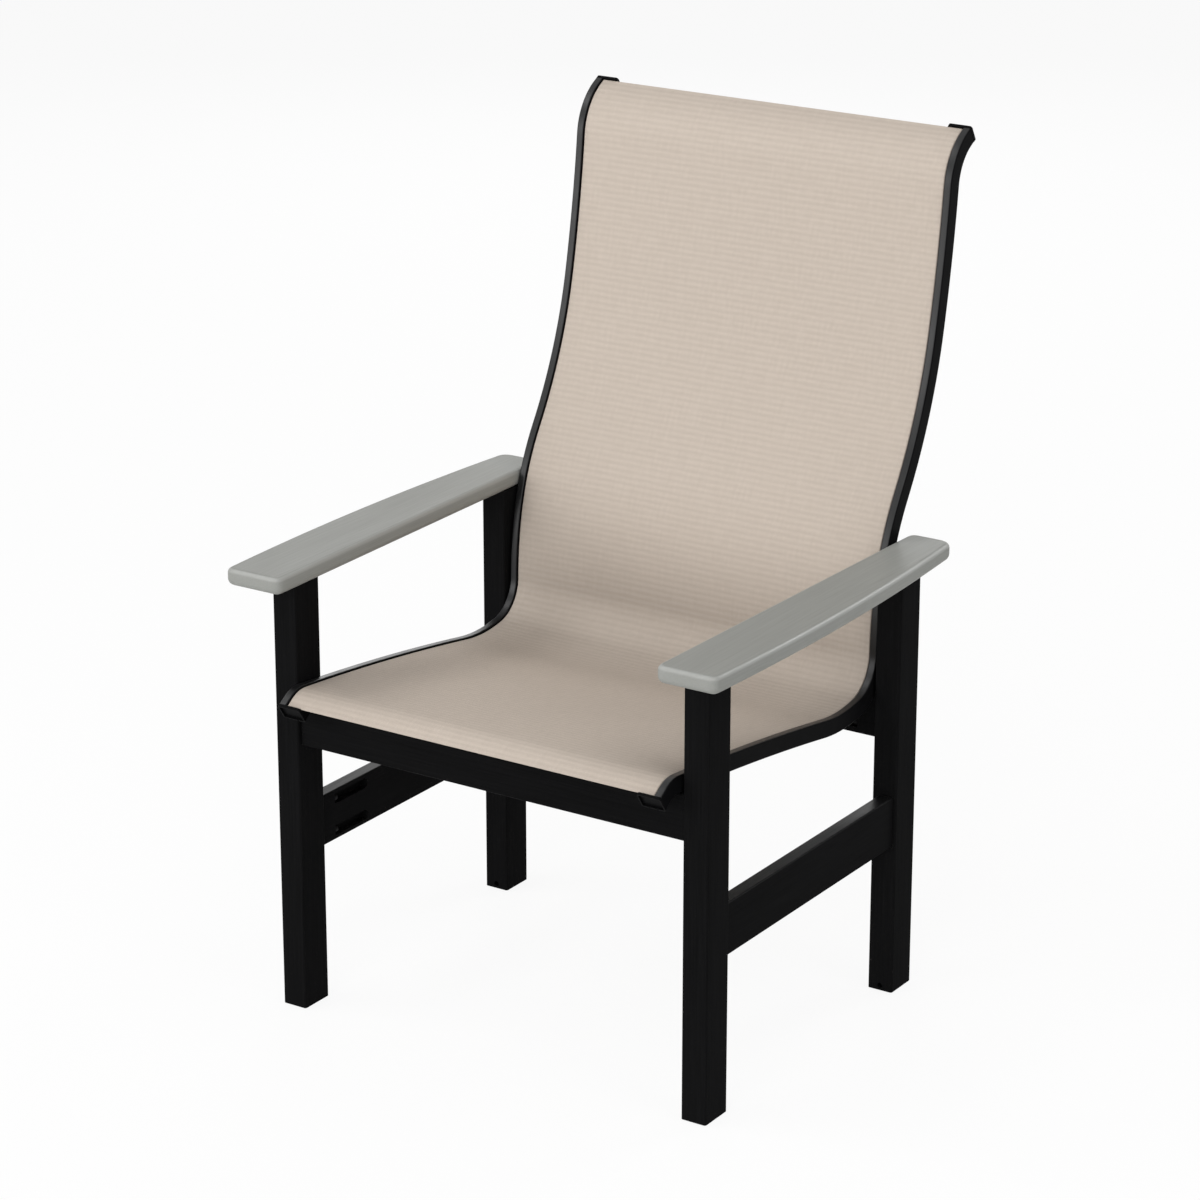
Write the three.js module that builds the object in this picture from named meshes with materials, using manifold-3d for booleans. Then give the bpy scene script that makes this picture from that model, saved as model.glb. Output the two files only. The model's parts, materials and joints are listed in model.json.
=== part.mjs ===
// Sling patio chair: four square legs, two cross boards, two side stretchers and two arms carry a pair
// of bent rails, and a cloth sling is stretched between the rails. Lengths are in millimetres, +Z is up,
// the chair faces -Y, and its left side, as the sitter has it, is +X.

import * as THREE from 'three';
import { mergeVertices } from 'three/addons/utils/BufferGeometryUtils.js';
import Module from 'manifold-3d';

const wasm = await Module();
wasm.setup();

// Fits shared by all pieces
const gap = 0.3;            // between pieces that touch or pass through each other
const overrun = 4;          // how far a cut runs past the face that it leaves
const mergeReach = 0.002;   // vertices closer than this are one

// Leg frame
const frameWidth = 660;     // across the outer faces of the legs
const frameDepth = 520;     // front faces of the front legs to back faces of the back legs
const legWidth = 36.5;
const legDepth = 51;
const legRound = 3;
const footHoleRadius = 4;   // blind hole near the foot of each back leg
const footHoleDepth = 8;
const footHoleHeight = 8;

// Foot glides
const glideStand = 1.5;     // how far the glide holds the leg off the ground
const glideInset = 2;
const glideRadius = 10;
const glideStemRadius = 3;
const glideStemLength = 16;

// Arms, whose edges reach past the legs' inner and outer faces
const armTop = 618;
const armThickness = 23.5;
const armNose = 9;          // radius of the rounded edge
const armFrontReach = 48;   // ahead of the front legs
const armRearReach = 40;    // behind the back legs
const armInnerFrontReach = 11.5;
const armInnerRearReach = 1.5;
const armOuterFrontReach = 39;
const armOuterBowReach = 54; // pull point of the bowed outer edge
const armOuterRearReach = 27.5;
const armFrontCorner = 2;   // corner radii of the flat top face
const armRearInnerCorner = 8;
const armRearOuterCorner = 18;

// Boards across and along the frame
const boardRound = 2.5;
const crossThickness = 25;
const crossSetback = 6;     // behind the front face of the front leg, and before the back of the back leg
const apronHeight = 62;
const rearBoardHeight = 62;
const rearBoardClearance = 17; // below the rails
const stretcherThickness = 21;
const stretcherHeight = 71;
const stretcherBottom = 211;
const stretcherSetback = 5; // behind the leg's outer face

// Bolt pockets routed in the hidden faces of the boards
const pocketStart = 37;     // from the leg to the pocket
const pocketLength = 72;
const pocketHeight = 14;
const pocketDepth = 10.5;
const stretcherPocketEdge = 6; // from the board's edge to the pocket
const crossPocketEdge = 8.5;

// Frame bolts
const boltRadius = 3;
const boltHeadClearance = 0.4; // between the head and its pocket's floor
const boltHeadHeight = 6;
const boltSocketRadius = 2.6;
const boltSocketDepth = 3;
const boltBite = 27;        // length in the leg

// Studs that hold the arms on the legs
const studRadius = 3;
const studInLeg = 24;
const studInArm = 14;

// Side line of the sling: its front end and slope, then each stretch's length and the slope after it
const lineReach = 42;       // of the front end, ahead of the front legs
const lineHeight = 446.5;
const frontSlope = 34.4;
const frontStraight = 12.5;
const curlLength = 30.2;
const curlSlope = -4.7;
const seatSlope = -9.1;
const dipLength = 83.5;
const dipSlope = 11.8;
const bendLength = 71.2;
const bendSlope = 89.2;
const bendPlace = 10.3;     // of the bend's end, behind the front faces of the back legs
const lumbarLength = 90.1;
const lumbarSlope = 79;
const reclineLength = 126.1;
const reclineSlope = 57.3;
const riseLength = 213.9;
const riseSlope = 77.9;
const shoulderLength = 191.5;
const shoulderSlope = 84.1;
const rollLength = 77.2;
const rollSlope = 29.9;
const topStraight = 7.8;
const facetTurn = 10;       // largest turn that one flat facet of a bend makes
const facetLength = 90;     // and its largest length

// Sling rails: an extrusion with a hollow, and a round channel that grips the sling's edge
const railClearance = 3.5;  // between rail and leg
const railWidth = 34;
const railDepth = 22;
const railRound = 3;
const railWall = 2.3;
const lipWidth = 11;
const lipRise = 2;          // of the outer lip above the cloth
const lipRound = 2.2;
const channelRadius = 4;
const channelDepth = 8.2;   // of its middle below the cloth's face

// Cloth, with a hem round a spline at each side
const clothThickness = 1.4;
const hemWall = 1.2;
const clothInset = 0.5;     // of its front and top edges from the ends of the rails

// Rail end caps: shallow cups with a plug behind and drain notches in the lower rim
const capThickness = 4;
const capRecess = 2.8;
const capRim = 2;
const capOverhang = 0.4;
const capRound = 3.5;
const plugRound = 1;
const plugStop = 2.3;       // from the plug's end to the rail's bend
const notchRadius = 1.2;
const notchPitch = 10.8;

// Rail bolts and the spacers between rail and leg
const railBoltRadius = 2;
const railBoltHeadRadius = 3.8;
const railBoltHeadHeight = 3;
const railBoltSocketRadius = 1.5;
const railBoltSocketDepth = 1.5;
const railBoltBite = 20;
const rearRailBoltRise = 39; // along the side line, above the end of the bend
const spacerInset = 0.6;    // of the spacer's rim inside the rail's lower face

// Spreader bars that hold the rails apart
const barRadius = 7.5;
const barWall = 1.6;
const barClearance = 1.1;   // between its flanges and the cloth
const barBow = 30;          // how far its middle bows away from the cloth
const seatBarPlace = 238;   // along the side line, past the end of the curl
const backBarPlace = 142;   // along the side line, past the end of the rise
const flangeThickness = 3;
const flangeRim = 1;
const flangePitch = 17;     // from the bar to its screw
const screwRadius = 2;
const screwHeadRadius = 3.8;
const screwHeadHeight = 2.4;
const screwSocketRadius = 1.2;
const screwSocketDepth = 1.2;
const screwLength = 9;

// Facets of round shapes
const roundSides = 8;
const bossSides = 12;
const channelSides = 8;
const splineSides = 6;
const cornerFacets = 2;
const armFacets = 4;
const noseFacets = 3;
const barSteps = 10;

// Places and sizes that follow from the sizes above
const degree = Math.PI / 180;
const fullTurn = 360;
const sides = { left: 1, right: -1 };
const axes = { x: new THREE.Vector3(1, 0, 0), y: new THREE.Vector3(0, 1, 0), z: new THREE.Vector3(0, 0, 1) };
const legs = { front: 0, back: frameDepth - legDepth };
const legCentre = frameWidth / 2 - legWidth / 2;
const legInner = frameWidth / 2 - legWidth;
const legTop = armTop - armThickness - gap;
const boltDepth = pocketDepth / 2;
const boltHeadRadius = boltDepth - boltHeadClearance;
const railOuter = legInner - railClearance;
const railInner = railOuter - railWidth;
const clothEdge = railOuter - lipWidth;
const channelAcross = clothEdge - gap - clothThickness / 2;
const mouth = clothThickness / 2 + gap;
const hemRadius = channelRadius - gap;
const hemBore = hemRadius - hemWall;
const splineRadius = hemBore - gap;
const railTop = clothThickness + gap;
const hollowShelf = channelDepth + channelRadius + railWall;
const hollowFloor = railDepth - railWall;
const hollowCorner = channelAcross - channelRadius - railWall;
const railBoltDepth = (hollowShelf + hollowFloor) / 2;
const spacerRadius = railDepth - railBoltDepth - spacerInset;
const flangeRadius = barRadius + flangeRim;
const barDepth = clothThickness + barClearance + flangeRadius;

// Finishes
const lumber = new THREE.MeshStandardMaterial({ color: 0x161616, roughness: 0.6, metalness: 0 });
const armLumber = new THREE.MeshStandardMaterial({ color: 0x9b9d98, roughness: 0.65, metalness: 0 });
const railCoat = new THREE.MeshStandardMaterial({ color: 0x1a1a1b, roughness: 0.42, metalness: 0.3 });
const cloth = new THREE.MeshStandardMaterial({ color: 0xcfc3b6, roughness: 0.85, metalness: 0 });
const plastic = new THREE.MeshStandardMaterial({ color: 0x121212, roughness: 0.5, metalness: 0 });
const steel = new THREE.MeshStandardMaterial({ color: 0x2a2a2c, roughness: 0.4, metalness: 0.9 });

const chair = new THREE.Group();

// Joining and cutting

/** Turns a closed three.js geometry into a solid that can be cut and joined. */
function toSolid(geometry) {
  const bare = geometry.clone();
  bare.deleteAttribute('normal');
  bare.deleteAttribute('uv');
  const merged = mergeVertices(bare, mergeReach);
  const corners = merged.index.array;
  const kept = [];
  for (let i = 0; i < corners.length; i += 3) {
    const [a, b, c] = [corners[i], corners[i + 1], corners[i + 2]];
    if (a !== b && b !== c && c !== a) kept.push(a, b, c);
  }
  return new wasm.Manifold(new wasm.Mesh({
    numProp: 3,
    vertProperties: new Float32Array(merged.attributes.position.array),
    triVerts: new Uint32Array(kept),
  }));
}

/** Turns a solid back into a geometry. */
function toGeometry(solid) {
  const mesh = solid.getMesh();
  const geometry = new THREE.BufferGeometry();
  geometry.setAttribute('position', new THREE.BufferAttribute(mesh.vertProperties, 3));
  geometry.setIndex(new THREE.BufferAttribute(mesh.triVerts, 1));
  geometry.computeVertexNormals();
  return geometry;
}

/** Cuts every tool out of a solid. */
function cut(solid, tools) {
  return tools.reduce((rest, tool) => rest.subtract(tool), solid);
}

/** Adds a solid to the chair as a named piece. */
function addPiece(name, solid, material) {
  const piece = new THREE.Mesh(toGeometry(solid), material);
  piece.name = name;
  chair.add(piece);
}

// Basic shapes

/** The turn that carries +Y onto a direction. */
function turnTo(direction) {
  return new THREE.Quaternion().setFromUnitVectors(axes.y, direction.clone().normalize());
}

/** A round rod between two points. */
function rod(radius, from, to, count = roundSides) {
  const along = to.clone().sub(from);
  const geometry = new THREE.CylinderGeometry(radius, radius, along.length(), count);
  geometry.applyQuaternion(turnTo(along));
  geometry.translate(...from.clone().add(to).multiplyScalar(0.5).toArray());
  return toSolid(geometry);
}

/** A solid turned from a profile of [radius, height], standing on a point and rising along a direction. */
function turned(profile, count, seat, direction) {
  const geometry = new THREE.LatheGeometry(profile.map(([r, y]) => new THREE.Vector2(r, y)), count);
  geometry.applyQuaternion(turnTo(direction));
  geometry.translate(...seat.toArray());
  return toSolid(geometry);
}

/** A socket-headed fastener whose head seats at a point, with its shank running along a direction. */
function fastener(head, shankRadius, length, seat, direction) {
  return turned([
    [0, -head.height + head.socketDepth],
    [head.socketRadius, -head.height + head.socketDepth],
    [head.socketRadius, -head.height],
    [head.radius, -head.height],
    [head.radius, 0],
    [shankRadius, 0],
    [shankRadius, length],
    [0, length],
  ], roundSides, seat, direction);
}

/** A rectangle with rounded corners, given by its low and high corners. */
function roundedRectangle(lowX, lowY, highX, highY, radius) {
  const shape = new THREE.Shape();
  shape.moveTo(lowX + radius, lowY);
  shape.lineTo(highX - radius, lowY);
  shape.absarc(highX - radius, lowY + radius, radius, -Math.PI / 2, 0);
  shape.lineTo(highX, highY - radius);
  shape.absarc(highX - radius, highY - radius, radius, 0, Math.PI / 2);
  shape.lineTo(lowX + radius, highY);
  shape.absarc(lowX + radius, highY - radius, radius, Math.PI / 2, Math.PI);
  shape.lineTo(lowX, lowY + radius);
  shape.absarc(lowX + radius, lowY + radius, radius, Math.PI, Math.PI * 1.5);
  return shape;
}

/** A prism of a shape, as tall as its depth. */
function prism(shape, depth, curveSegments = cornerFacets) {
  return new THREE.ExtrudeGeometry(shape, { depth, bevelEnabled: false, curveSegments });
}

// The side line that rails, cloth and splines follow

/** The chord of an arc, from its length and its turn in radians. */
function arcChord(length, turn) {
  return turn ? (length * Math.sin(turn / 2)) / (turn / 2) : length;
}

/** How far an arc runs back, from its length and the slopes at its ends. */
function runBack(length, from, to) {
  return arcChord(length, (to - from) * degree) * Math.cos(((from + to) / 2) * degree);
}

const fixedRun = runBack(frontStraight, frontSlope, frontSlope)
  + runBack(curlLength, frontSlope, curlSlope)
  + runBack(dipLength, seatSlope, dipSlope)
  + runBack(bendLength, dipSlope, bendSlope);
const seatRun = lineReach + legs.back + bendPlace - fixedRun;
const seatLength = seatRun / runBack(1, curlSlope, seatSlope);

/** A line of straights and arcs in the plane of the chair's side, broken into facets where it bends. */
class SideLine extends THREE.Curve {
  constructor(frontCut, topCut) {
    super();
    let heading = frontSlope * degree;
    let y = -lineReach + frontCut * Math.cos(heading);
    let z = lineHeight + frontCut * Math.sin(heading);
    this.rings = [{ y, z, heading }];
    this.marks = {};
    const stretches = {
      front: [frontStraight - frontCut, frontSlope],
      curl: [curlLength, curlSlope],
      seat: [seatLength, seatSlope],
      dip: [dipLength, dipSlope],
      bend: [bendLength, bendSlope],
      lumbar: [lumbarLength, lumbarSlope],
      recline: [reclineLength, reclineSlope],
      rise: [riseLength, riseSlope],
      shoulder: [shoulderLength, shoulderSlope],
      roll: [rollLength, rollSlope],
      top: [topStraight - topCut, rollSlope],
    };
    for (const [name, [length, slope]] of Object.entries(stretches)) {
      const turn = slope * degree - heading;
      const count = Math.max(1, Math.round(Math.abs(turn) / (facetTurn * degree)), Math.ceil(length / facetLength));
      const part = turn / count;
      const chord = arcChord(length / count, part);
      for (let i = 0; i < count; i += 1) {
        y += chord * Math.cos(heading + part / 2);
        z += chord * Math.sin(heading + part / 2);
        heading += part;
        this.rings.push({ y, z, heading });
      }
      this.marks[name] = this.rings.length - 1;
    }
    this.steps = this.rings.length - 1;
  }

  /** A point of the facets at a depth below the cloth's face. */
  at(t, depth) {
    const index = Math.min(this.steps - 1, Math.floor(t * this.steps));
    const [low, high] = [index, index + 1].map((i) => {
      const { y, z, heading } = this.rings[i];
      return new THREE.Vector3(0, y + depth * Math.sin(heading), z - depth * Math.cos(heading));
    });
    return low.lerp(high, t * this.steps - index);
  }

  getPoint(t, target = new THREE.Vector3()) {
    return target.copy(this.at(t, 0));
  }

  getTangent(t, target = new THREE.Vector3()) {
    const index = Math.min(this.steps - 1, Math.floor(t * this.steps));
    const [low, high] = [this.rings[index].heading, this.rings[index + 1].heading];
    const heading = THREE.MathUtils.lerp(low, high, t * this.steps - index);
    return target.set(0, Math.cos(heading), Math.sin(heading));
  }

  getUtoTmapping(u) {
    return u;
  }

  /** The t at which the facets, at a depth below the cloth's face, are as far back as y. */
  whereY(y, depth) {
    let i = 0;
    while (i < this.steps - 1 && this.at((i + 1) / this.steps, depth).y < y) i += 1;
    const low = this.at(i / this.steps, depth).y;
    const high = this.at((i + 1) / this.steps, depth).y;
    return (i + (y - low) / (high - low)) / this.steps;
  }

  /** The t at a distance past the end of a named stretch. */
  past(name, distance) {
    const facet = (i) => this.getPoint(i / this.steps).distanceTo(this.getPoint((i + 1) / this.steps));
    let i = this.marks[name];
    let left = distance;
    while (i < this.steps - 1 && left > facet(i)) {
      left -= facet(i);
      i += 1;
    }
    return (i + left / facet(i)) / this.steps;
  }
}

const railLine = new SideLine(0, 0);
const clothLine = new SideLine(clothInset, clothInset);

/** Height of the rails' lower face over a place behind the front legs. */
function underRails(y) {
  return railLine.at(railLine.whereY(y, railDepth), railDepth).z;
}

/** Sweeps outlines of [across, depth below the cloth's face] along the side line. */
function sweep(line, outline, holes = []) {
  const counterClockwise = (list) => {
    const points = list.map(([across, depth]) => new THREE.Vector2(-across, -depth));
    return THREE.ShapeUtils.isClockWise(points) ? points.reverse() : points;
  };
  const shape = new THREE.Shape(counterClockwise(outline));
  shape.holes = holes.map((hole) => new THREE.Path(counterClockwise(hole)));
  return toSolid(new THREE.ExtrudeGeometry(shape, { steps: line.steps, extrudePath: line }));
}

/** Points of an arc in the section, by angles from the way the channel's mouth faces. */
function arcPoints(across, depth, radius, angles) {
  return angles.map((a) => [across + radius * Math.sin(a * degree), depth - radius * Math.cos(a * degree)]);
}

/** Angles of the corners of a regular polygon. */
function cornerAngles(count) {
  return Array.from({ length: count }, (_, i) => (i * fullTurn) / count);
}

/** Angles round the channel, from one edge of a mouth to the other. */
function mouthAngles(halfWidth, radius) {
  const edge = Math.asin(halfWidth / radius) / degree;
  return [edge, ...cornerAngles(channelSides).slice(1), fullTurn - edge];
}

// Legs, with their glides, studs and arms

/** The middle of a leg in plan, at a height. */
function legMiddle(place, side, height) {
  return new THREE.Vector3(side * legCentre, legs[place] + legDepth / 2, height);
}

/** A square leg, bored for the bolts that end in it. */
function buildLeg(place, side, bores) {
  const low = { x: side * legCentre - legWidth / 2, y: legs[place] };
  const geometry = prism(
    roundedRectangle(low.x, low.y, low.x + legWidth, low.y + legDepth, legRound),
    legTop - glideStand,
  );
  geometry.translate(0, 0, glideStand);
  const foot = legMiddle(place, side, 0);
  const padTop = glideStand + glideInset + gap;
  const cuts = [
    ...bores,
    rod(glideRadius + gap, foot, legMiddle(place, side, padTop), bossSides),
    rod(glideStemRadius + gap, foot, legMiddle(place, side, padTop + glideStemLength)),
    rod(
      studRadius + gap,
      legMiddle(place, side, legTop - studInLeg - gap),
      legMiddle(place, side, legTop + overrun),
    ),
  ];
  if (place === 'back') {
    const mouthPoint = new THREE.Vector3(foot.x, low.y - overrun, footHoleHeight);
    const bottom = new THREE.Vector3(foot.x, low.y + footHoleDepth, footHoleHeight);
    cuts.push(rod(footHoleRadius, mouthPoint, bottom, bossSides));
  }
  return cut(toSolid(geometry), cuts);
}

/** A glide: a flat pad under the leg with a stem pressed up into it. */
function buildGlide(place, side) {
  const rim = glideStand + glideInset;
  return turned([
    [0, 0],
    [glideRadius, 0],
    [glideRadius, rim],
    [glideStemRadius, rim],
    [glideStemRadius, rim + glideStemLength],
    [0, rim + glideStemLength],
  ], bossSides, legMiddle(place, side, 0), axes.z);
}

/** The flat top face of an arm on the left side, inside the rounded edge. */
function armOutline() {
  const front = -armFrontReach + armNose;
  const rear = frameDepth + armRearReach - armNose;
  const middle = (front + rear) / 2;
  const inner = [armInnerFrontReach, armInnerRearReach].map((reach) => legInner - reach + armNose);
  const outer = [armOuterFrontReach, armOuterRearReach].map((reach) => frameWidth / 2 + reach - armNose);
  const bow = frameWidth / 2 + armOuterBowReach - armNose;
  const shape = new THREE.Shape();
  shape.moveTo(inner[0] + armFrontCorner, front);
  shape.lineTo(outer[0] - armFrontCorner, front);
  shape.quadraticCurveTo(outer[0], front, outer[0], front + armFrontCorner);
  shape.quadraticCurveTo(bow, middle, outer[1], rear - armRearOuterCorner);
  shape.quadraticCurveTo(outer[1], rear, outer[1] - armRearOuterCorner, rear);
  shape.lineTo(inner[1] + armRearInnerCorner, rear);
  shape.quadraticCurveTo(inner[1], rear, inner[1], rear - armRearInnerCorner);
  shape.lineTo(inner[0], front + armFrontCorner);
  shape.quadraticCurveTo(inner[0], front, inner[0] + armFrontCorner, front);
  return shape;
}

/** An arm board with rounded edges all round, drilled from below for its studs. */
function buildArm(side) {
  const geometry = new THREE.ExtrudeGeometry(armOutline(), {
    depth: armThickness - 2 * armNose,
    bevelEnabled: true,
    bevelThickness: armNose,
    bevelSize: armNose,
    bevelSegments: noseFacets,
    curveSegments: armFacets,
  });
  geometry.translate(0, 0, armTop - armThickness + armNose);
  const board = toSolid(geometry);
  const placed = side > 0 ? board : board.mirror([1, 0, 0]);
  const bores = Object.keys(legs).map((place) => rod(
    studRadius + gap,
    legMiddle(place, side, legTop - overrun),
    legMiddle(place, side, armTop - armThickness + studInArm + gap),
  ));
  return cut(placed, bores);
}

/** A stud that stands in a leg's top and in the arm over it. */
function buildStud(place, side) {
  return rod(
    studRadius,
    legMiddle(place, side, legTop - studInLeg),
    legMiddle(place, side, armTop - armThickness + studInArm),
  );
}

// Boards with routed pockets

/** The end of a board: out towards the leg, and open out of its pocketed face. */
function boardEnd(origin, out, open) {
  const place = (along, rise, depth) => origin.clone()
    .addScaledVector(out, -along)
    .addScaledVector(axes.z, rise)
    .addScaledVector(open, -depth);
  return { out, open, place };
}

/** A pocket at the end of a board: square next to the leg and round at its far end. */
function pocketCut(end, rise) {
  const half = pocketHeight / 2;
  const shape = new THREE.Shape();
  shape.moveTo(pocketStart, -half);
  shape.lineTo(pocketStart + pocketLength - half, -half);
  shape.absarc(pocketStart + pocketLength - half, 0, half, -Math.PI / 2, Math.PI / 2);
  shape.lineTo(pocketStart, half);
  const geometry = prism(shape, pocketDepth + overrun, armFacets);
  const inward = end.out.clone().negate();
  const up = end.open.clone().cross(inward);
  geometry.applyMatrix4(new THREE.Matrix4().makeBasis(inward, up, end.open));
  geometry.translate(...end.place(0, rise, pocketDepth).toArray());
  return toSolid(geometry);
}

/** The two bolts of a board's end, with the bores and pockets that they need. */
function endBolts(end, bottom, height, pocketEdge) {
  const head = {
    radius: boltHeadRadius, height: boltHeadHeight, socketRadius: boltSocketRadius, socketDepth: boltSocketDepth,
  };
  const margin = pocketEdge + pocketHeight / 2;
  const rises = { lower: bottom + margin, upper: bottom + height - margin };
  return Object.entries(rises).map(([level, rise]) => ({
    level,
    bolt: fastener(
      head, boltRadius, pocketStart + gap + boltBite,
      end.place(pocketStart + gap, rise, boltDepth), end.out,
    ),
    bore: rod(
      boltRadius + gap,
      end.place(pocketStart + overrun, rise, boltDepth),
      end.place(-boltBite - gap, rise, boltDepth),
    ),
    pocket: pocketCut(end, rise),
  }));
}

/** A straight board between two legs, along x or y, from its low corner to its high corner. */
function straightBoard(axis, low, high) {
  const across = axis === 'x' ? 'y' : 'x';
  const outline = roundedRectangle(low[across], low.z, high[across], high.z, boardRound);
  const geometry = prism(outline, high[axis] - low[axis]);
  geometry.applyMatrix4(axis === 'x'
    ? new THREE.Matrix4().makeBasis(axes.y, axes.z, axes.x)
    : new THREE.Matrix4().makeBasis(axes.x, axes.z, axes.y.clone().negate()));
  geometry.translate(axis === 'x' ? low.x : 0, axis === 'y' ? high.y : 0, 0);
  return toSolid(geometry);
}

// Sling rails

/** The outline of the rail's section: a box, an outer lip and the mouth of the round channel. */
function railOutline(side) {
  return [
    [railInner + railRound, railDepth],
    [railInner, railDepth - railRound],
    [railInner, railTop],
    [channelAcross - mouth, railTop],
    ...arcPoints(channelAcross, channelDepth, channelRadius, mouthAngles(mouth, channelRadius).reverse()),
    [clothEdge, -lipRise + lipRound],
    [clothEdge + lipRound, -lipRise],
    [railOuter - lipRound, -lipRise],
    [railOuter, -lipRise + lipRound],
    [railOuter, railDepth - railRound],
    [railOuter - railRound, railDepth],
  ].map(([across, depth]) => [side * across, depth]);
}

/** The hollow beside and behind the channel. */
function railHollow(side) {
  const near = railInner + railWall;
  const roof = railTop + railWall;
  return [
    [near, roof],
    [hollowCorner, roof],
    [hollowCorner, hollowShelf],
    [railOuter - railWall, hollowShelf],
    [railOuter - railWall, hollowFloor],
    [near, hollowFloor],
  ].map(([across, depth]) => [side * across, depth]);
}

/** A bolt from the rail's inner side into the leg, its spacer, and the bore for both pieces. */
function railFixing(place, side) {
  const t = place === 'front'
    ? railLine.whereY(legs.front + legDepth / 2, railBoltDepth)
    : railLine.past('bend', rearRailBoltRise);
  const at = (across) => railLine.at(t, railBoltDepth).setX(side * across);
  const head = {
    radius: railBoltHeadRadius, height: railBoltHeadHeight,
    socketRadius: railBoltSocketRadius, socketDepth: railBoltSocketDepth,
  };
  const reach = legInner + railBoltBite - railInner + gap;
  const bore = rod(railBoltRadius + gap, at(railInner - overrun), at(legInner + railBoltBite + gap));
  return {
    bolt: fastener(head, railBoltRadius, reach, at(railInner - gap), axes.x.clone().multiplyScalar(side)),
    spacer: rod(spacerRadius, at(railOuter + gap), at(legInner - gap), bossSides).subtract(bore),
    bore,
  };
}

// Cloth and splines

/** The cloth's section: flat between the rails, with each edge turned into a hem round a spline. */
function clothOutline() {
  const strip = clothThickness / 2;
  const half = [
    [channelAcross + strip, 0],
    ...arcPoints(channelAcross, channelDepth, hemRadius, mouthAngles(strip, hemRadius)),
    [channelAcross - strip, clothThickness],
  ];
  return [...half, ...half.toReversed().map(([across, depth]) => [-across, depth])];
}

/** The section of a spline, or of the hem's bore round it. */
function splineOutline(side, radius) {
  return arcPoints(side * channelAcross, channelDepth, radius, cornerAngles(splineSides));
}

// End caps

/** A cap that covers a rail's end, with a plug in the rail's hollow. */
function buildCap(side, atTop) {
  const t = atTop ? 1 : 0;
  const [point, tangent] = [railLine.at(t, 0), railLine.getTangent(t)];
  const out = tangent.clone().multiplyScalar(atTop ? 1 : -1);
  const normal = new THREE.Vector3(0, -tangent.z, tangent.y);
  const across = normal.clone().cross(out);
  const basis = new THREE.Matrix4().makeBasis(across, normal, out);
  const flip = Math.sign(across.x) * side;
  const block = (inner, outer, top, bottom, radius, near, far) => {
    const [low, high] = [inner * flip, outer * flip].sort((a, b) => a - b);
    const geometry = prism(roundedRectangle(low, -bottom, high, -top, radius), far - near);
    geometry.translate(0, 0, near);
    geometry.applyMatrix4(basis);
    geometry.translate(...point.toArray());
    return toSolid(geometry);
  };
  const [inner, outer] = [railInner - capOverhang, railOuter + capOverhang];
  const [top, bottom] = [-lipRise - capOverhang, railDepth + capOverhang];
  const face = gap + capThickness;
  const cup = block(inner, outer, top, bottom, capRound, gap, face).subtract(block(
    inner + capRim, outer - capRim, top + capRim, bottom - capRim,
    capRound - capRim, face - capRecess, face + overrun,
  ));
  const plugLength = (atTop ? topStraight : frontStraight) - plugStop;
  const plug = block(
    railInner + railWall + gap, hollowCorner - gap, railTop + railWall + gap, hollowFloor - gap,
    plugRound, -plugLength, face - capRecess,
  );
  const notches = [-notchPitch / 2, notchPitch / 2].map((offset) => {
    const at = (depth) => point.clone()
      .addScaledVector(out, face)
      .addScaledVector(normal, -depth)
      .setX(side * ((railInner + railOuter) / 2 + offset));
    return rod(notchRadius, at(bottom - capRim - capRim / 2), at(bottom + overrun));
  });
  return cut(cup.add(plug), notches);
}

// Spreader bars

/** A bar's bowed centre line, from one rail to the other. */
class BowLine extends THREE.Curve {
  constructor(middle, away, half) {
    super();
    Object.assign(this, { middle, away, half });
  }

  getPoint(t, target = new THREE.Vector3()) {
    const bow = (barBow * (1 - Math.cos(2 * Math.PI * t))) / 2;
    target.copy(this.middle).addScaledVector(this.away, bow);
    return target.setX(this.half * (2 * t - 1));
  }
}

/** A ring-shaped section of a tube. */
function ringShape(radius, bore) {
  const circle = (r) => arcPoints(0, 0, r, cornerAngles(roundSides)).map(([x, y]) => new THREE.Vector2(x, y));
  const shape = new THREE.Shape(circle(radius));
  shape.holes = [new THREE.Path(circle(bore))];
  return shape;
}

/** A bowed tube with a flange at each end, and the screws that hold the flanges to the rails. */
function buildSpreader(t) {
  const [middle, tangent] = [railLine.at(t, barDepth), railLine.getTangent(t)];
  const half = railInner - gap;
  const bow = new BowLine(middle, new THREE.Vector3(0, tangent.z, -tangent.y), half);
  const tube = new THREE.ExtrudeGeometry(ringShape(barRadius, barRadius - barWall), {
    steps: barSteps, extrudePath: bow,
  });
  const head = {
    radius: screwHeadRadius, height: screwHeadHeight, socketRadius: screwSocketRadius, socketDepth: screwSocketDepth,
  };
  const flangeFace = half - flangeThickness;
  const reach = flangeThickness + gap + screwLength;
  let bar = toSolid(tube);
  const screws = [];
  for (const [sideName, side] of Object.entries(sides)) {
    const at = (across, slide) => middle.clone().addScaledVector(tangent, slide).setX(side * across);
    const flange = rod(flangeRadius, at(flangeFace, 0), at(half, 0), bossSides)
      .add(rod(flangeRadius, at(flangeFace, flangePitch), at(half, flangePitch), bossSides));
    const bore = rod(barRadius - barWall, at(flangeFace - overrun, 0), at(half + overrun, 0));
    const screwBore = rod(
      screwRadius + gap,
      at(flangeFace - overrun, flangePitch),
      at(half + screwLength + gap, flangePitch),
    );
    bar = bar.add(flange.hull()).subtract(bore).subtract(screwBore);
    const screw = fastener(
      head, screwRadius, reach, at(flangeFace - gap, flangePitch), axes.x.clone().multiplyScalar(side),
    );
    screws.push({ sideName, screw, bore: screwBore });
  }
  return { bar, screws };
}

// Putting the chair together

const legBores = {};
const railBores = {};
for (const sideName of Object.keys(sides)) {
  railBores[sideName] = [];
  for (const place of Object.keys(legs)) legBores[`${place}_${sideName}`] = [];
}

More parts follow.
